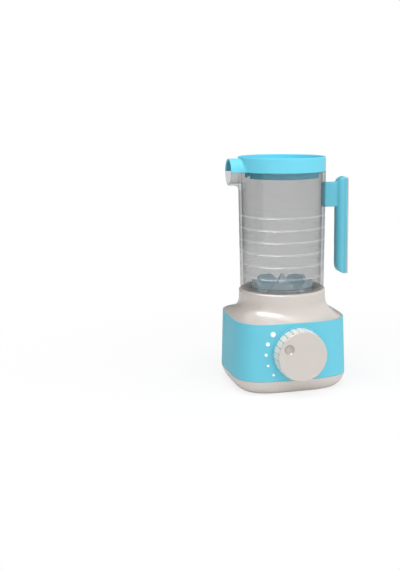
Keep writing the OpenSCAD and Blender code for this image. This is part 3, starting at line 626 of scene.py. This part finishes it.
def make_cover_lip():
    """The lip under the cover that fits into the band."""
    lip = Shell("cover_lip", TOP_X - LIP_IN - LIP_T, TOP_Y - LIP_IN - LIP_T, COVER_Z - LIP_H)
    lip.inset_to(TOP_X, TOP_Y, LIP_IN, COVER_Z - LIP_H)
    lip.inset_to(TOP_X, TOP_Y, LIP_IN, COVER_FOOT_Z)
    lip.inset_to(TOP_X, TOP_Y, COVER_EDGE_IN, COVER_FOOT_Z)
    lip.inset_to(TOP_X, TOP_Y, COVER_EDGE_IN, COVER_Z)
    lip.inset_to(TOP_X, TOP_Y, LIP_IN + LIP_T, COVER_Z + COVER_LIP_RISE)
    lip.inset_to(TOP_X, TOP_Y, LIP_IN + LIP_T, COVER_Z - LIP_H)
    return lip.done()


def make_cover():
    """The pale cover: it flares from the band's outline to a round collar with a recess."""
    shell = Shell("flared_cover", COVER_X, COVER_Y, COVER_FOOT_Z)
    shell.to(COVER_X, COVER_Y, COVER_Z + COVER_EDGE_H)
    left = 1
    for step in range(1, FLARE_RINGS + 1):
        share = FLARE_START + (1 - FLARE_START) * (step / FLARE_RINGS) ** 1.5
        z = COVER_Z + share * (COLLAR_Z - COVER_Z)
        if z < COLLAR_Z - COLLAR_ROUND:
            kept = (1 - share) ** FLARE_POWER
            shell.toward_circle(1 - kept / left, COLLAR_R, z)
            left = kept
    shell.toward_circle(1, COLLAR_R, COLLAR_Z - COLLAR_ROUND)
    rings = []
    for turn in range(15, 91, 15):
        rings.append((COLLAR_R - COLLAR_ROUND * (1 - math.cos(math.radians(turn))),
                      COLLAR_Z - COLLAR_ROUND * (1 - math.sin(math.radians(turn)))))
    for turn in range(0, 91, 30):
        rings.append((RECESS_R + RECESS_ROUND * (1 - math.sin(math.radians(turn))),
                      COLLAR_Z - RECESS_ROUND * (1 - math.cos(math.radians(turn)))))
    rings.append((RECESS_R, RECESS_END_Z))
    last = COLLAR_R
    for radius, z in rings:
        shell.grow(radius / last, radius / last, z)
        last = radius
    cover = shell.done(wall=SHELL_WALL)
    join(cover, make_cover_lip())
    show(cover, "base", "pale_plastic", pale_plastic, "top_cover", smooth=30)


DOT_RADII = [1.2 * MM, 1.28 * MM, 1.53 * MM, 1.97 * MM, 2.6 * MM]
DOT_PITCH = 19.2          # degrees from dot to dot round the dial
DOTS_OUT = 32.3 * MM
DOT_PROUD = 0.3 * MM
DOT_SINK = 0.9 * MM


def band_face(x, z):
    """Where the band's front face lies at x, z."""
    share = (z - BAND_Z) / (COVER_Z - BAND_Z)
    half_x = BOTTOM_X + (TOP_X - BOTTOM_X) * share
    half_y = BOTTOM_Y + (TOP_Y - BOTTOM_Y) * share
    return -half_y * (1 - (abs(x) / half_x) ** Shell.SQUARENESS) ** (1 / Shell.SQUARENESS)


def make_dots():
    """Five domed inlays that grow towards the top."""
    dots = []
    for number, radius in enumerate(DOT_RADII):
        angle = math.radians(180 + (2 - number) * DOT_PITCH)
        x = DOTS_OUT * math.cos(angle)
        z = DIAL_Z + DOTS_OUT * math.sin(angle)
        slope = (band_face(x + TINY, z) - band_face(x - TINY, z)) / (2 * TINY)
        dot = turned(f"dot_{number}", [(0, -DOT_SINK, 0), (radius, -DOT_SINK, 0),
                                       (radius, DOT_PROUD * 0.7, 0.16 * MM), (0, DOT_PROUD, 0)],
                     steps=40, closed=False)
        dot.rotation_euler = (math.radians(90), 0, math.atan(slope))
        dot.location = (x, band_face(x, z), z)
        dots.append(settle(dot))
    join(*dots)
    dots[0].name = "speed_dot_inlays"
    show(dots[0], "base", "white_print", dot_white, "speed_dots")


# ------------------------------------------------------------------------ dial

DIAL_BACK_Y = dial_high.y
DIAL_T = dial_high.y - dial_low.y
DIAL_FACE_R = DIAL_R - 1.0 * MM
DIAL_BEVEL = 0.9 * MM
DIAL_SKIN = 2.4 * MM
DIAL_ROOF = DIAL_T - DIAL_SKIN - 2 * MM     # the hollow stops short of the dimple
DIAL_BOSS_R = 7 * MM
SHAFT_R = 3.03 * MM
SHAFT_IN = DIAL_T - 4 * MM
GROOVES = 24
STEPS_PER_GROOVE = 16
GROOVE_DEPTHS = {-1: 0.4 * MM, 0: 1.7 * MM, 1: 0.4 * MM}     # by steps from a groove's middle
SKIRT_LOW = 0.25 * MM
SKIRT_HIGH = DIAL_T - 1.7 * MM
SKIRT_TOP_R = DIAL_R - SKIRT_HIGH / DIAL_T * (DIAL_R - DIAL_FACE_R)

DIMPLE_OUT = 16 * MM
DIMPLE_ANGLE = math.radians(150)
DIMPLE_X = DIMPLE_OUT * math.cos(DIMPLE_ANGLE)
DIMPLE_UP = DIMPLE_OUT * math.sin(DIMPLE_ANGLE)
DIMPLE_R = 5.1 * MM
DIMPLE_BALL_R = 6.2 * MM
DIMPLE_RINGS = (0, 0.8, 1.6, 2.4, 3.1, 3.7, 4.2, 4.6, 4.8)        # mm from its middle
DIMPLE_LIP = ((-0.1, -0.17), (0.05, -0.06), (0.3, 0.01), (1, 1))  # mm past its edge, mm off the face

# painted shade: the dimple and its rim are painted darker, as if shaded in the hollow
DIMPLE_PAINTED_SHADE = ((DIMPLE_X, dial_low.y, DIAL_Z + DIMPLE_UP),
               [(0.052, 0.45), (0.08, 1.0), (0.099, 1.0), (0.103, 0.0)], DIMPLE_SHADE_PALE)
# painted light: the dial's skirt is painted paler, as if lit from above
SKIRT_PAINTED_LIGHT = ((0, dial_low.y, DIAL_Z), [(0.486, 0.0), (0.494, 1.0)], SKIRT_LIT_PALE)
# the dial's plastic carries painted shade in the dimple and painted light on the skirt
dial_plastic = moulded_plastic("dial_finish_painted_light_and_shade", DIAL_PALE, gloss=0.2, shine=1.0, ior=1.58,
                               painted_light_marks=[DIMPLE_PAINTED_SHADE, SKIRT_PAINTED_LIGHT])


def dimple_tool():
    """A turned cutter for the dimple: a shallow ball whose lip rolls out flat onto the face."""
    rise = math.sqrt(DIMPLE_BALL_R ** 2 - DIMPLE_R ** 2)
    hollow = [(ring * MM, DIAL_T + rise - math.sqrt(DIMPLE_BALL_R ** 2 - (ring * MM) ** 2), 0)
              for ring in DIMPLE_RINGS]
    lip = [(DIMPLE_R + out * MM, DIAL_T + up * MM, 0) for out, up in DIMPLE_LIP]
    tool = turned("dimple_tool", hollow + lip + [(0, lip[-1][1], 0)], steps=72, closed=False)
    tool.location = (DIMPLE_X, DIMPLE_UP, 0)
    return settle(tool)


def make_dial():
    """The dial: a turned cap whose skirt is pressed into finger grooves, with a dimple in its face."""
    dial = turned("dial", [
        (SHAFT_R, 0, 0), (DIAL_BOSS_R, 0, 0), (DIAL_BOSS_R, DIAL_ROOF, 0),
        (DIAL_FACE_R - DIAL_SKIN - 1 * MM, DIAL_ROOF, 0),
        (DIAL_R - DIAL_SKIN, 0, 0), (DIAL_R - SKIRT_LOW, 0, 0), (DIAL_R, SKIRT_LOW, 0),
        (SKIRT_TOP_R, SKIRT_HIGH, 0), (SKIRT_TOP_R - 0.03 * MM, SKIRT_HIGH + 0.5 * MM, 0),
        (DIAL_FACE_R, DIAL_T, DIAL_BEVEL), (0, DIAL_T, 0), (0, SHAFT_IN, 0), (SHAFT_R, SHAFT_IN, 0)],
        steps=GROOVES * STEPS_PER_GROOVE)
    bpy.ops.object.mode_set(mode="EDIT")
    step = math.tau / (GROOVES * STEPS_PER_GROOVE)
    for offset, depth in GROOVE_DEPTHS.items():
        def in_groove(co):
            on_skirt = co.z < SKIRT_HIGH + 0.1 * MM and co.xy.length > DIAL_R - DIAL_SKIN + 0.6 * MM
            column = round(math.atan2(co.y, co.x) / step)
            return on_skirt and (column - offset) % STEPS_PER_GROOVE == STEPS_PER_GROOVE // 2
        pick(dial, in_groove)
        pressed = 1 - depth / DIAL_R
        bpy.ops.transform.resize(value=(pressed, pressed, 1), center_override=(0, 0, 0))
    settle(dial)
    combine(dial, dimple_tool(), "DIFFERENCE")
    facing_front(dial, DIAL_BACK_Y, DIAL_Z)
    show(dial, "dial", "pale_plastic", dial_plastic, "dial_knob", smooth=28)


# ----------------------------------------------------------------------- spout

jug_low, jug_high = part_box("jug_body")
lid_low, lid_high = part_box("lid")
RIM_Z = jug_high.z
LID_Z = RIM_Z + 0.3 * MM

SPOUT_MOUTH_X = jug_low.x
SPOUT_R = 13.2 * MM
SPOUT_BORE_R = 11.4 * MM
SPOUT_MOUTH_ROUND = 0.5 * MM
SPOUT_STRAIGHT = 4                 # rings along its straight part
SPOUT_TURNS = range(0, 85, 12)     # degrees at the rings of its flared root
SPOUT_ROOT_IN = 1.2 * MM           # how far its last ring is sunk into the wall
SPOUT_ROOT_WIDER = 0.15 * MM
BORE_START_X = SPOUT_MOUTH_X - 5 * MM
BEYOND_SPOUT_X = SPOUT_MOUTH_X - 15 * MM


def tube_along_x(name, radius, start, end):
    """A plain round bar along X at the spout's height, to cut with."""
    bar = begin(name, bpy.ops.mesh.primitive_cylinder_add, vertices=72, radius=radius, depth=end - start,
                location=((start + end) / 2, 0, RIM_Z), rotation=(0, math.radians(90), 0))
    return settle(bar)


def spout_cut(name, low_z, high_z, end_x=-CUT_OVER):
    """A block that takes in the whole spout between two heights."""
    return block(name, (BEYOND_SPOUT_X, -CUT_OVER, low_z), (end_x, CUT_OVER, high_z))


def spout_bar(name, wall_r, flare_side, flare_top, sign):
    """A solid bar for the spout whose root flares out until it lies along the round wall.

    sign is 1 for the lid's upper half and -1 for the jug's lower half."""
    piece = begin(name, bpy.ops.mesh.primitive_circle_add, vertices=96, radius=SPOUT_R, fill_type="NGON")
    last = SPOUT_STRAIGHT + len(SPOUT_TURNS)
    for _ in range(last + 1):
        bpy.ops.mesh.extrude_region_move(TRANSFORM_OT_translate={"value": (0, 0, 1)})
    bpy.ops.object.mode_set(mode="OBJECT")
    for vertex in piece.data.vertices:
        ring = round(vertex.co.z)
        across = vertex.co.x / SPOUT_R
        up = vertex.co.y / SPOUT_R
        flare = flare_side + (flare_top - flare_side) * max(0, up * sign) ** 1.5
        turn = math.radians(SPOUT_TURNS[min(max(ring - SPOUT_STRAIGHT, 0), len(SPOUT_TURNS) - 1)])
        radius = SPOUT_R + flare * (1 - math.cos(turn)) + (SPOUT_ROOT_WIDER if ring >= last else 0)
        wall_x = -math.sqrt(wall_r ** 2 - (radius * across) ** 2)
        x = wall_x + SPOUT_ROOT_IN if ring >= last else wall_x - flare * (1 - math.sin(turn))
        if ring < SPOUT_STRAIGHT:
            x = SPOUT_MOUTH_X + (x - SPOUT_MOUTH_X) * ring / SPOUT_STRAIGHT
        vertex.co = (x, radius * across, RIM_Z + radius * up)
    bpy.ops.object.mode_set(mode="EDIT")
    merge_and_face_out()
    return settle(piece)


def round_mouth(piece, keep):
    """Rounds the edges of the spout's mouth on one piece."""
    only(piece)
    bpy.ops.object.mode_set(mode="EDIT")
    round_edges(piece, lambda co: co.x < SPOUT_MOUTH_X + 0.02 * MM and keep(co), SPOUT_MOUTH_ROUND, 3)
    settle(piece)


# ------------------------------------------------------------------------- jug

JUG_TOP_R = jug_high.y
JUG_BOTTOM_R = 42.4 * MM
JUG_WALL = 3 * MM
JUG_Z = jug_low.z + 7 * MM
JUG_FOOT_T = 2.6 * MM
JUG_FLOOR_Z = jug_low.z
JUG_FLOOR_T = 2 * MM
JUG_BORE_END_X = -38.9 * MM
SPIGOT_R = 33.6 * MM
SPIGOT_WALL = 1.9 * MM
BUSH_R = 4.55 * MM
GROOVE_DEPTH = 0.75 * MM
GROOVE_BELOW = 0.85 * MM
GROOVE_ABOVE = 0.45 * MM
PAD_X = jug_high.x
PAD_HALF_Y = 3.2 * MM
PAD_LOW = 179.2 * MM
PAD_HIGH = 202.2 * MM


def jug_radius(height):
    """The jug's outer radius at a height above its foot."""
    return JUG_BOTTOM_R + (JUG_TOP_R - JUG_BOTTOM_R) * height / (RIM_Z - JUG_Z)


def make_jug():
    """The clear jug: turned wall with grooves, half a spout and the handle's pad."""
    grooves = []
    for number in range(GROOVE_COUNT):
        z = FIRST_GROOVE_Z + number * GROOVE_PITCH
        radius = jug_radius(z - JUG_Z)
        grooves += [(radius, z - GROOVE_BELOW, 0.12 * MM), (radius - GROOVE_DEPTH, z, 0.1 * MM),
                    (radius, z + GROOVE_ABOVE, 0.12 * MM)]
    floor_top = JUG_FLOOR_Z + JUG_FLOOR_T
    well_r = SPIGOT_R - SPIGOT_WALL
    jug = turned("jug", [
        (BUSH_R, JUG_FLOOR_Z, 0), (SPIGOT_R, JUG_FLOOR_Z, 0.8 * MM), (SPIGOT_R, JUG_Z, 0),
        (JUG_BOTTOM_R, JUG_Z, 1.2 * MM), *grooves,
        (JUG_TOP_R, RIM_Z, 0.5 * MM), (JUG_TOP_R - JUG_WALL, RIM_Z, 0.5 * MM),
        (JUG_BOTTOM_R - JUG_WALL, JUG_Z + JUG_FOOT_T, 1.6 * MM), (well_r, JUG_Z + JUG_FOOT_T, 0.8 * MM),
        (well_r, floor_top, 0.8 * MM), (BUSH_R, floor_top, 0)], steps=160)
    spout = spout_bar("jug_spout", JUG_TOP_R - 0.2 * MM, flare_side=4.5 * MM, flare_top=6.5 * MM, sign=-1)
    combine(spout, spout_cut("upper_half", RIM_Z, RIM_Z + CUT_OVER), "DIFFERENCE")
    combine(jug, spout, "UNION")
    combine(jug, tube_along_x("bore", SPOUT_BORE_R, BORE_START_X, JUG_BORE_END_X), "DIFFERENCE")
    round_mouth(jug, lambda co: co.z < RIM_Z - TINY)
    pad = block("pad", (JUG_TOP_R - 0.5 * JUG_WALL, -PAD_HALF_Y, PAD_LOW), (PAD_X, PAD_HALF_Y, PAD_HIGH))
    combine(jug, pad, "UNION")
    show(jug, "jug", "clear_plastic", jug_clear, "jug_body", smooth=32)


# ------------------------------------------------------------------------- lid

LID_TOP_Z = lid_high.z
LID_R = lid_high.y
LID_WALL = 2 * MM
DISH_Z = LID_TOP_Z - 7 * MM
DISH_UNDER_Z = DISH_Z - LID_WALL
PLUG_R = 37.2 * MM
PLUG_WALL = 2 * MM
PLUG_Z = lid_low.z
STEP_R = 40.4 * MM
STEP_Z = RIM_Z - 1.8 * MM

# painted shade: the spout's bore near the mouth is painted darker, as if in shadow
BORE_PAINTED_SHADE = ((SPOUT_MOUTH_X + 5 * MM, 0, RIM_Z), [(0.238, 1.0), (0.25, 0.0)], BORE_SHADE_BLUE)
lid_plastic = moulded_plastic("lid_finish_painted_bore_shade", LID_BLUE, gloss=0.38, shine=0.2, painted_light_marks=[BORE_PAINTED_SHADE])


def make_lid():
    """The lid: a dished cap with a plug ring and the upper half of the spout."""
    lid = turned("lid_cap", [
        (0, DISH_UNDER_Z, 0), (PLUG_R - PLUG_WALL, DISH_UNDER_Z, 0.5 * MM),
        (PLUG_R - PLUG_WALL, PLUG_Z, 0.4 * MM), (PLUG_R, PLUG_Z, 0.6 * MM), (PLUG_R, STEP_Z, 0),
        (STEP_R, STEP_Z, 0.3 * MM), (STEP_R, LID_Z, 0), (LID_R, LID_Z, 0.5 * MM),
        (LID_R, LID_TOP_Z, 0.8 * MM), (LID_R - LID_WALL, LID_TOP_Z, 0.8 * MM),
        (LID_R - LID_WALL, DISH_Z, 1.5 * MM), (0, DISH_Z, 0)], steps=160, closed=False)
    spout = spout_bar("lid_spout", LID_R - 0.1 * MM, flare_side=4.6 * MM, flare_top=1.3 * MM, sign=1)
    combine(spout, spout_cut("lower_half", RIM_Z - CUT_OVER, LID_Z), "DIFFERENCE")
    combine(lid, spout, "UNION")
    combine(lid, tube_along_x("bore", SPOUT_BORE_R, BORE_START_X, -LID_R + 0.4 * MM), "DIFFERENCE")
    channel = tube_along_x("channel", SPOUT_BORE_R, -LID_R - 1 * MM, -PLUG_R + PLUG_WALL + 1 * MM)
    combine(channel, spout_cut("roof", DISH_UNDER_Z, RIM_Z + CUT_OVER, end_x=0), "DIFFERENCE")
    combine(lid, channel, "DIFFERENCE")
    round_mouth(lid, lambda co: co.z > LID_Z + TINY)
    show(lid, "lid", "blue_plastic", lid_plastic, "lid", smooth=32)


# ---------------------------------------------------------------------- handle

grip_low, grip_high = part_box("handle_grip")
back_low, back_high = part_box("handle_back")
GRIP_X = grip_low.x + 11.3 * MM     # the grip's front; the node's box also holds the arm
GRIP_Z = grip_low.z + 0.9 * MM      # before the toe is drawn out
TOE_R = 8.4 * MM
TOE_STRETCH = 1.35
BROW_R = 8.7 * MM
HEEL_R = 1.1 * MM
SIDE_R = 6.6 * MM
FLANGE_T = 2.4 * MM
FLANGE_OUT = 0.9 * MM
SECTION_BACK_IN = 0.3 * MM
SECTION_TOP_IN = 0.2 * MM
ARM_ROUND = 0.9 * MM
ARM_ROOT_X = 42.6 * MM
ARM_INTO_GRIP = 6 * MM
ARM_HALF_Y = 4 * MM
ARM_LOW = 178.2 * MM
ARM_HIGH = 203.2 * MM
HANDLE_VOXEL = 0.45 * MM
HANDLE_SMOOTHING = 22
PLATE_CORNER_R = 2.4 * MM
PLATE_EDGE_R = 0.7 * MM


def make_grip_outline():
    """A block with the grip's outline from the side: sloping toe and brow, small heels."""
    grip = block("handle", (GRIP_X, grip_low.y, GRIP_Z), grip_high)
    bpy.ops.object.mode_set(mode="EDIT")
    for x, z, radius, fullness in ((GRIP_X, GRIP_Z, TOE_R, 0.46), (GRIP_X, grip_high.z, BROW_R, 0.43),
                                   (grip_high.x, GRIP_Z, HEEL_R, 0.5),
                                   (grip_high.x, grip_high.z, HEEL_R, 0.5)):
        round_edges(grip, along_y(x, z), radius, 12, fullness)
    pick(grip, lambda co: co.z < GRIP_Z + TOE_R + TINY)
    bpy.ops.transform.resize(value=(1, 1, TOE_STRETCH), center_override=(0, 0, GRIP_Z))
    return settle(grip)


def make_handle():
    """The grip and its arm, melted together so that every inner corner is a fillet, on a thin flange."""
    grip = make_grip_outline()
    flange = make_grip_outline()
    front = block("front", (0, -CUT_OVER, 0), (grip_high.x - FLANGE_T, CUT_OVER, 300 * MM))
    combine(flange, front, "DIFFERENCE")
    section = block("section", (GRIP_X, grip_low.y + FLANGE_OUT, grip_low.z),
                    (grip_high.x - SECTION_BACK_IN, grip_high.y - FLANGE_OUT, grip_high.z - SECTION_TOP_IN))
    bpy.ops.object.mode_set(mode="EDIT")
    for side in (-1, 1):
        round_edges(section, lambda co: co.y * side > 0 and abs(co.x - GRIP_X) < TINY, SIDE_R, 12)
    combine(grip, settle(section), "INTERSECT")
    arm = block("arm", (ARM_ROOT_X, -ARM_HALF_Y, ARM_LOW), (GRIP_X + ARM_INTO_GRIP, ARM_HALF_Y, ARM_HIGH))
    soften(arm, ARM_ROUND, 3)
    combine(grip, arm, "UNION")
    combine(grip, flange, "UNION")
    apply_modifier(grip, "REMESH", mode="VOXEL", voxel_size=HANDLE_VOXEL)
    apply_modifier(grip, "SMOOTH", factor=0.5, iterations=HANDLE_SMOOTHING)
    show(grip, "jug", "blue_plastic", handle_plastic, "handle_grip", smooth=60)


def make_handle_back():
    """The pale plate on the grip's back."""
    plate = block("handle_back_plate", back_low, back_high)
    bpy.ops.object.mode_set(mode="EDIT")
    for y in (back_low.y, back_high.y):
        for z in (back_low.z, back_high.z):
            round_edges(plate, along_x(y, z), PLATE_CORNER_R, 8)
    round_edges(plate, lambda co: abs(co.x - back_high.x) < TINY, PLATE_EDGE_R, 4)
    show(plate, "jug", "pale_plastic", pale_plastic, "handle_back")


# ----------------------------------------------------------------------- rotor

rotor_low, rotor_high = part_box("blade_rotor")
ROTOR_R = (rotor_high.x - rotor_low.x) / 2
ROTOR_Z = rotor_low.z
DISC_TOP = ROTOR_Z + 2.8 * MM
SPIKE_TOP = rotor_high.z
SPIKE_R = 9 * MM
SHAFT_BORE_R = 2.53 * MM
SHAFT_BORE_TOP = ROTOR_Z + 10 * MM
VANES = 5
VANE_PHASE = 247         # degrees
VANE_HALF_W = 14.5 * MM
VANE_TOP = DISC_TOP + 9 * MM
VANE_T = 4 * MM
VANE_R = ROTOR_R - 0.03 * MM
VANE_FOOT = ROTOR_Z + 1.2 * MM
VANE_LEAD = 11.5 * MM
VANE_TRAIL_R = 5.5 * MM
VANE_ROUND = 0.55 * MM


def make_vane():
    """A curved vane: a stretch of ring with a sloping front corner and a rounded rear one."""
    vane = turned("vane", [(VANE_R - VANE_T, VANE_FOOT, 0), (VANE_R, VANE_FOOT, 0),
                           (VANE_R, VANE_TOP, 0), (VANE_R - VANE_T, VANE_TOP, 0)], steps=128)
    slab = block("slab", (10 * MM, -VANE_HALF_W, VANE_FOOT - 1 * MM), (ROTOR_R, VANE_HALF_W, VANE_TOP))
    bpy.ops.object.mode_set(mode="EDIT")
    for y, radius, fullness in ((-VANE_HALF_W, VANE_LEAD, 0.28), (VANE_HALF_W, VANE_TRAIL_R, 0.5)):
        round_edges(slab, along_x(y, VANE_TOP), radius, 14, fullness)
    combine(vane, settle(slab), "INTERSECT")
    soften(vane, VANE_ROUND, 3)
    return vane


def make_rotor():
    """The stirring rotor: a disc with a pointed hub and five curved vanes."""
    rotor = turned("rotor", [
        (SHAFT_BORE_R, ROTOR_Z, 0), (ROTOR_R, ROTOR_Z, 0.8 * MM), (ROTOR_R, DISC_TOP, 0.5 * MM),
        (SPIKE_R, DISC_TOP, 2 * MM), (SPIKE_R * 0.45, DISC_TOP + 8.7 * MM, 2.4 * MM),
        (1.3 * MM, SPIKE_TOP - 1 * MM, 0.5 * MM), (0, SPIKE_TOP, 0), (0, SHAFT_BORE_TOP, 0),
        (SHAFT_BORE_R, SHAFT_BORE_TOP, 0)], steps=128)
    pattern = make_vane()
    vanes = []
    for number in range(VANES):
        vane = pattern.copy()
        vane.data = pattern.data.copy()
        bpy.context.scene.collection.objects.link(vane)
        vane.rotation_euler = (0, 0, math.radians(VANE_PHASE + number * 360 / VANES))
        vanes.append(settle(vane))
    bpy.data.objects.remove(pattern)
    join(rotor, *vanes)
    show(rotor, "rotor", "blue_plastic", rotor_plastic, "blade_rotor")


# --------------------------------------------------------------- carried pieces

CARRIED = {
    pale_plastic: ["coupling_cup"],
    gear_nylon: ["gear_frame", "crown_gear", "drive_pinion", "drive_coupler", "driven_coupler"],
    shaft_steel: ["base_screws", "cup_screws", "frame_screws", "gear_screw", "handle_screws", "rotor_screw",
                  "dial_shaft", "drive_shaft", "rotor_shaft", "shaft_clip"],
    bush_bronze: ["dial_bush", "frame_bush", "lower_bush", "upper_bush", "rotor_bush"],
}


def finish_carried():
    """Gives the carried-over nodes their finishes."""
    for finish, names in CARRIED.items():
        for name in names:
            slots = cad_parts[name].data.materials
            slots.clear()
            slots.append(finish)


# ----------------------------------------------------------------------- studio

CAMERA_AT = Vector((-272.3, -890.4, 278.4)) * MM
CAMERA_ALONG = Vector((0.2878, 0.9412, -0.1767))
CAMERA_LENS = 58.65
CAMERA_SHIFT = (-0.1437, -0.0202)


def make_camera():
    data = bpy.data.cameras.new("camera")
    data.lens = CAMERA_LENS
    data.sensor_width = 36
    data.shift_x, data.shift_y = CAMERA_SHIFT
    camera = bpy.data.objects.new("camera", data)
    bpy.context.scene.collection.objects.link(camera)
    camera.location = CAMERA_AT
    camera.rotation_euler = CAMERA_ALONG.to_track_quat("-Z", "Y").to_euler()
    bpy.context.scene.camera = camera


def soft_lamp(name, length, width, power, place, target, lights):
    """A rectangular soft box, with its long side across the view, for the shading or for the gloss."""
    data = bpy.data.lights.new(name, "AREA")
    data.shape = "RECTANGLE"
    data.size = length
    data.size_y = width
    data.energy = power
    lamp = bpy.data.objects.new(name, data)
    bpy.context.scene.collection.objects.link(lamp)
    lamp.location = place
    lamp.rotation_euler = (Vector(target) - Vector(place)).to_track_quat("-Z", "Y").to_euler()
    lamp.visible_diffuse = lights == "shading"
    lamp.visible_glossy = lights == "gloss"


def make_lamps():
    """One lamp shades the object from above; the other two only draw its long highlights."""
    soft_lamp("overhead", length=1.2, width=1.0, power=9.3, place=(-0.26, -0.3, 1.2),
              target=(0, 0, 0.1), lights="shading")
    soft_lamp("sheen", length=1.5, width=1.2, power=6.5, place=(-0.42, -0.25, 1.2),
              target=(-0.42, -0.25, 0), lights="gloss")
    soft_lamp("glint", length=1.15, width=0.45, power=7.8, place=(-0.42, -0.25, 1.15),
              target=(0, -0.02, 0.08), lights="gloss")


FLOOR_HALF = 3
SHADOW_SHARE = 0.22      # how much of the floor's true shade the camera sees
SHADOW_FROM = 0.1        # metres from the middle, where it starts to fade
SHADOW_TO = 0.4
FLAG_R = 0.9
FLAG_H = 0.75
FLAG_FROM = 55           # degrees round from +X
FLAG_TO = 203
ROOM_LIGHT = 0.43
SIDE_LIGHT = 1.15
SIDE_FALLOFF = 1.6
BRIGHT_SIDE = (0.45, -0.88, 0.1)


def make_floor():
    """A pale floor that the camera sees as white, with the object's soft shadow."""
    floor = begin("floor", bpy.ops.mesh.primitive_plane_add, size=2 * FLOOR_HALF)
    settle(floor)
    paint = Paint("floor_paint", Base_Color=(0.94, 0.94, 0.94, 1), Roughness=0.9)
    white = paint.add("ShaderNodeEmission", {}, {"Color": (1, 1, 1, 1), "Strength": 1.0})
    away = paint.add("ShaderNodeVectorMath", {"operation": "LENGTH"}, {0: paint.spot()}, out="Value")
    shadow = paint.ramp(away, (SHADOW_FROM, SHADOW_SHARE), (SHADOW_TO, 0.0))
    straight = paint.add("ShaderNodeLightPath", out="Is Camera Ray")
    shade = Wire(paint, paint.tree.nodes["Principled BSDF"].outputs["BSDF"])
    mixed = paint.add("ShaderNodeMixShader", {}, {0: straight * (1 - shadow), 1: shade, 2: white})
    paint.link(mixed, "Material Output", "Surface")
    floor.data.materials.append(paint.material)


def make_flag():
    """A dark card around the back and left, unseen by the camera, that gives the sides their dark edges."""
    flag = begin("flag", bpy.ops.mesh.primitive_circle_add, vertices=64, radius=FLAG_R)
    pick(flag, lambda co: not (FLAG_FROM <= math.degrees(math.atan2(co.y, co.x)) % 360 <= FLAG_TO))
    bpy.ops.mesh.delete(type="VERT")
    bpy.ops.mesh.select_all(action="SELECT")
    bpy.ops.mesh.extrude_region_move(TRANSFORM_OT_translate={"value": (0, 0, FLAG_H)})
    settle(flag)
    flag.data.materials.append(Paint("flag_card", Base_Color=(0.1, 0.1, 0.1, 1), Roughness=0.9).material)
    flag.visible_camera = False
    flag.visible_transmission = False


def make_room():
    """A soft room, a little brighter to the front and right; camera, gloss and glass see it plain white."""
    world = bpy.data.worlds.new("room")
    bpy.context.scene.world = world
    world.use_nodes = True
    room = Nodes(world.node_tree)
    along = room.add("ShaderNodeTexCoord", out="Generated")
    facing = room.add("ShaderNodeVectorMath", {"operation": "DOT_PRODUCT"},
                      {0: along, 1: BRIGHT_SIDE}, out="Value")
    light = (facing.reckon("MAXIMUM", 0.0) ** SIDE_FALLOFF) * SIDE_LIGHT + ROOM_LIGHT
    camera, gloss, glass = (room.add("ShaderNodeLightPath", out=f"Is {ray} Ray")
                            for ray in ("Camera", "Glossy", "Transmission"))
    seen = camera.reckon("MAXIMUM", gloss).reckon("MAXIMUM", glass)
    room.link(seen + (1 - seen) * light, "Background", "Strength")
    world.node_tree.nodes["Background"].inputs["Color"].default_value = (1, 1, 1, 1)


# -------------------------------------------------------------------- the scene

make_camera()
make_foot()
make_band()
make_seat()
make_cover()
make_dots()
make_dial()
make_jug()
make_lid()
make_handle()
make_handle_back()
make_rotor()
finish_carried()
make_floor()
make_flag()
make_room()
make_lamps()

bpy.context.scene.view_settings.view_transform = "Standard"
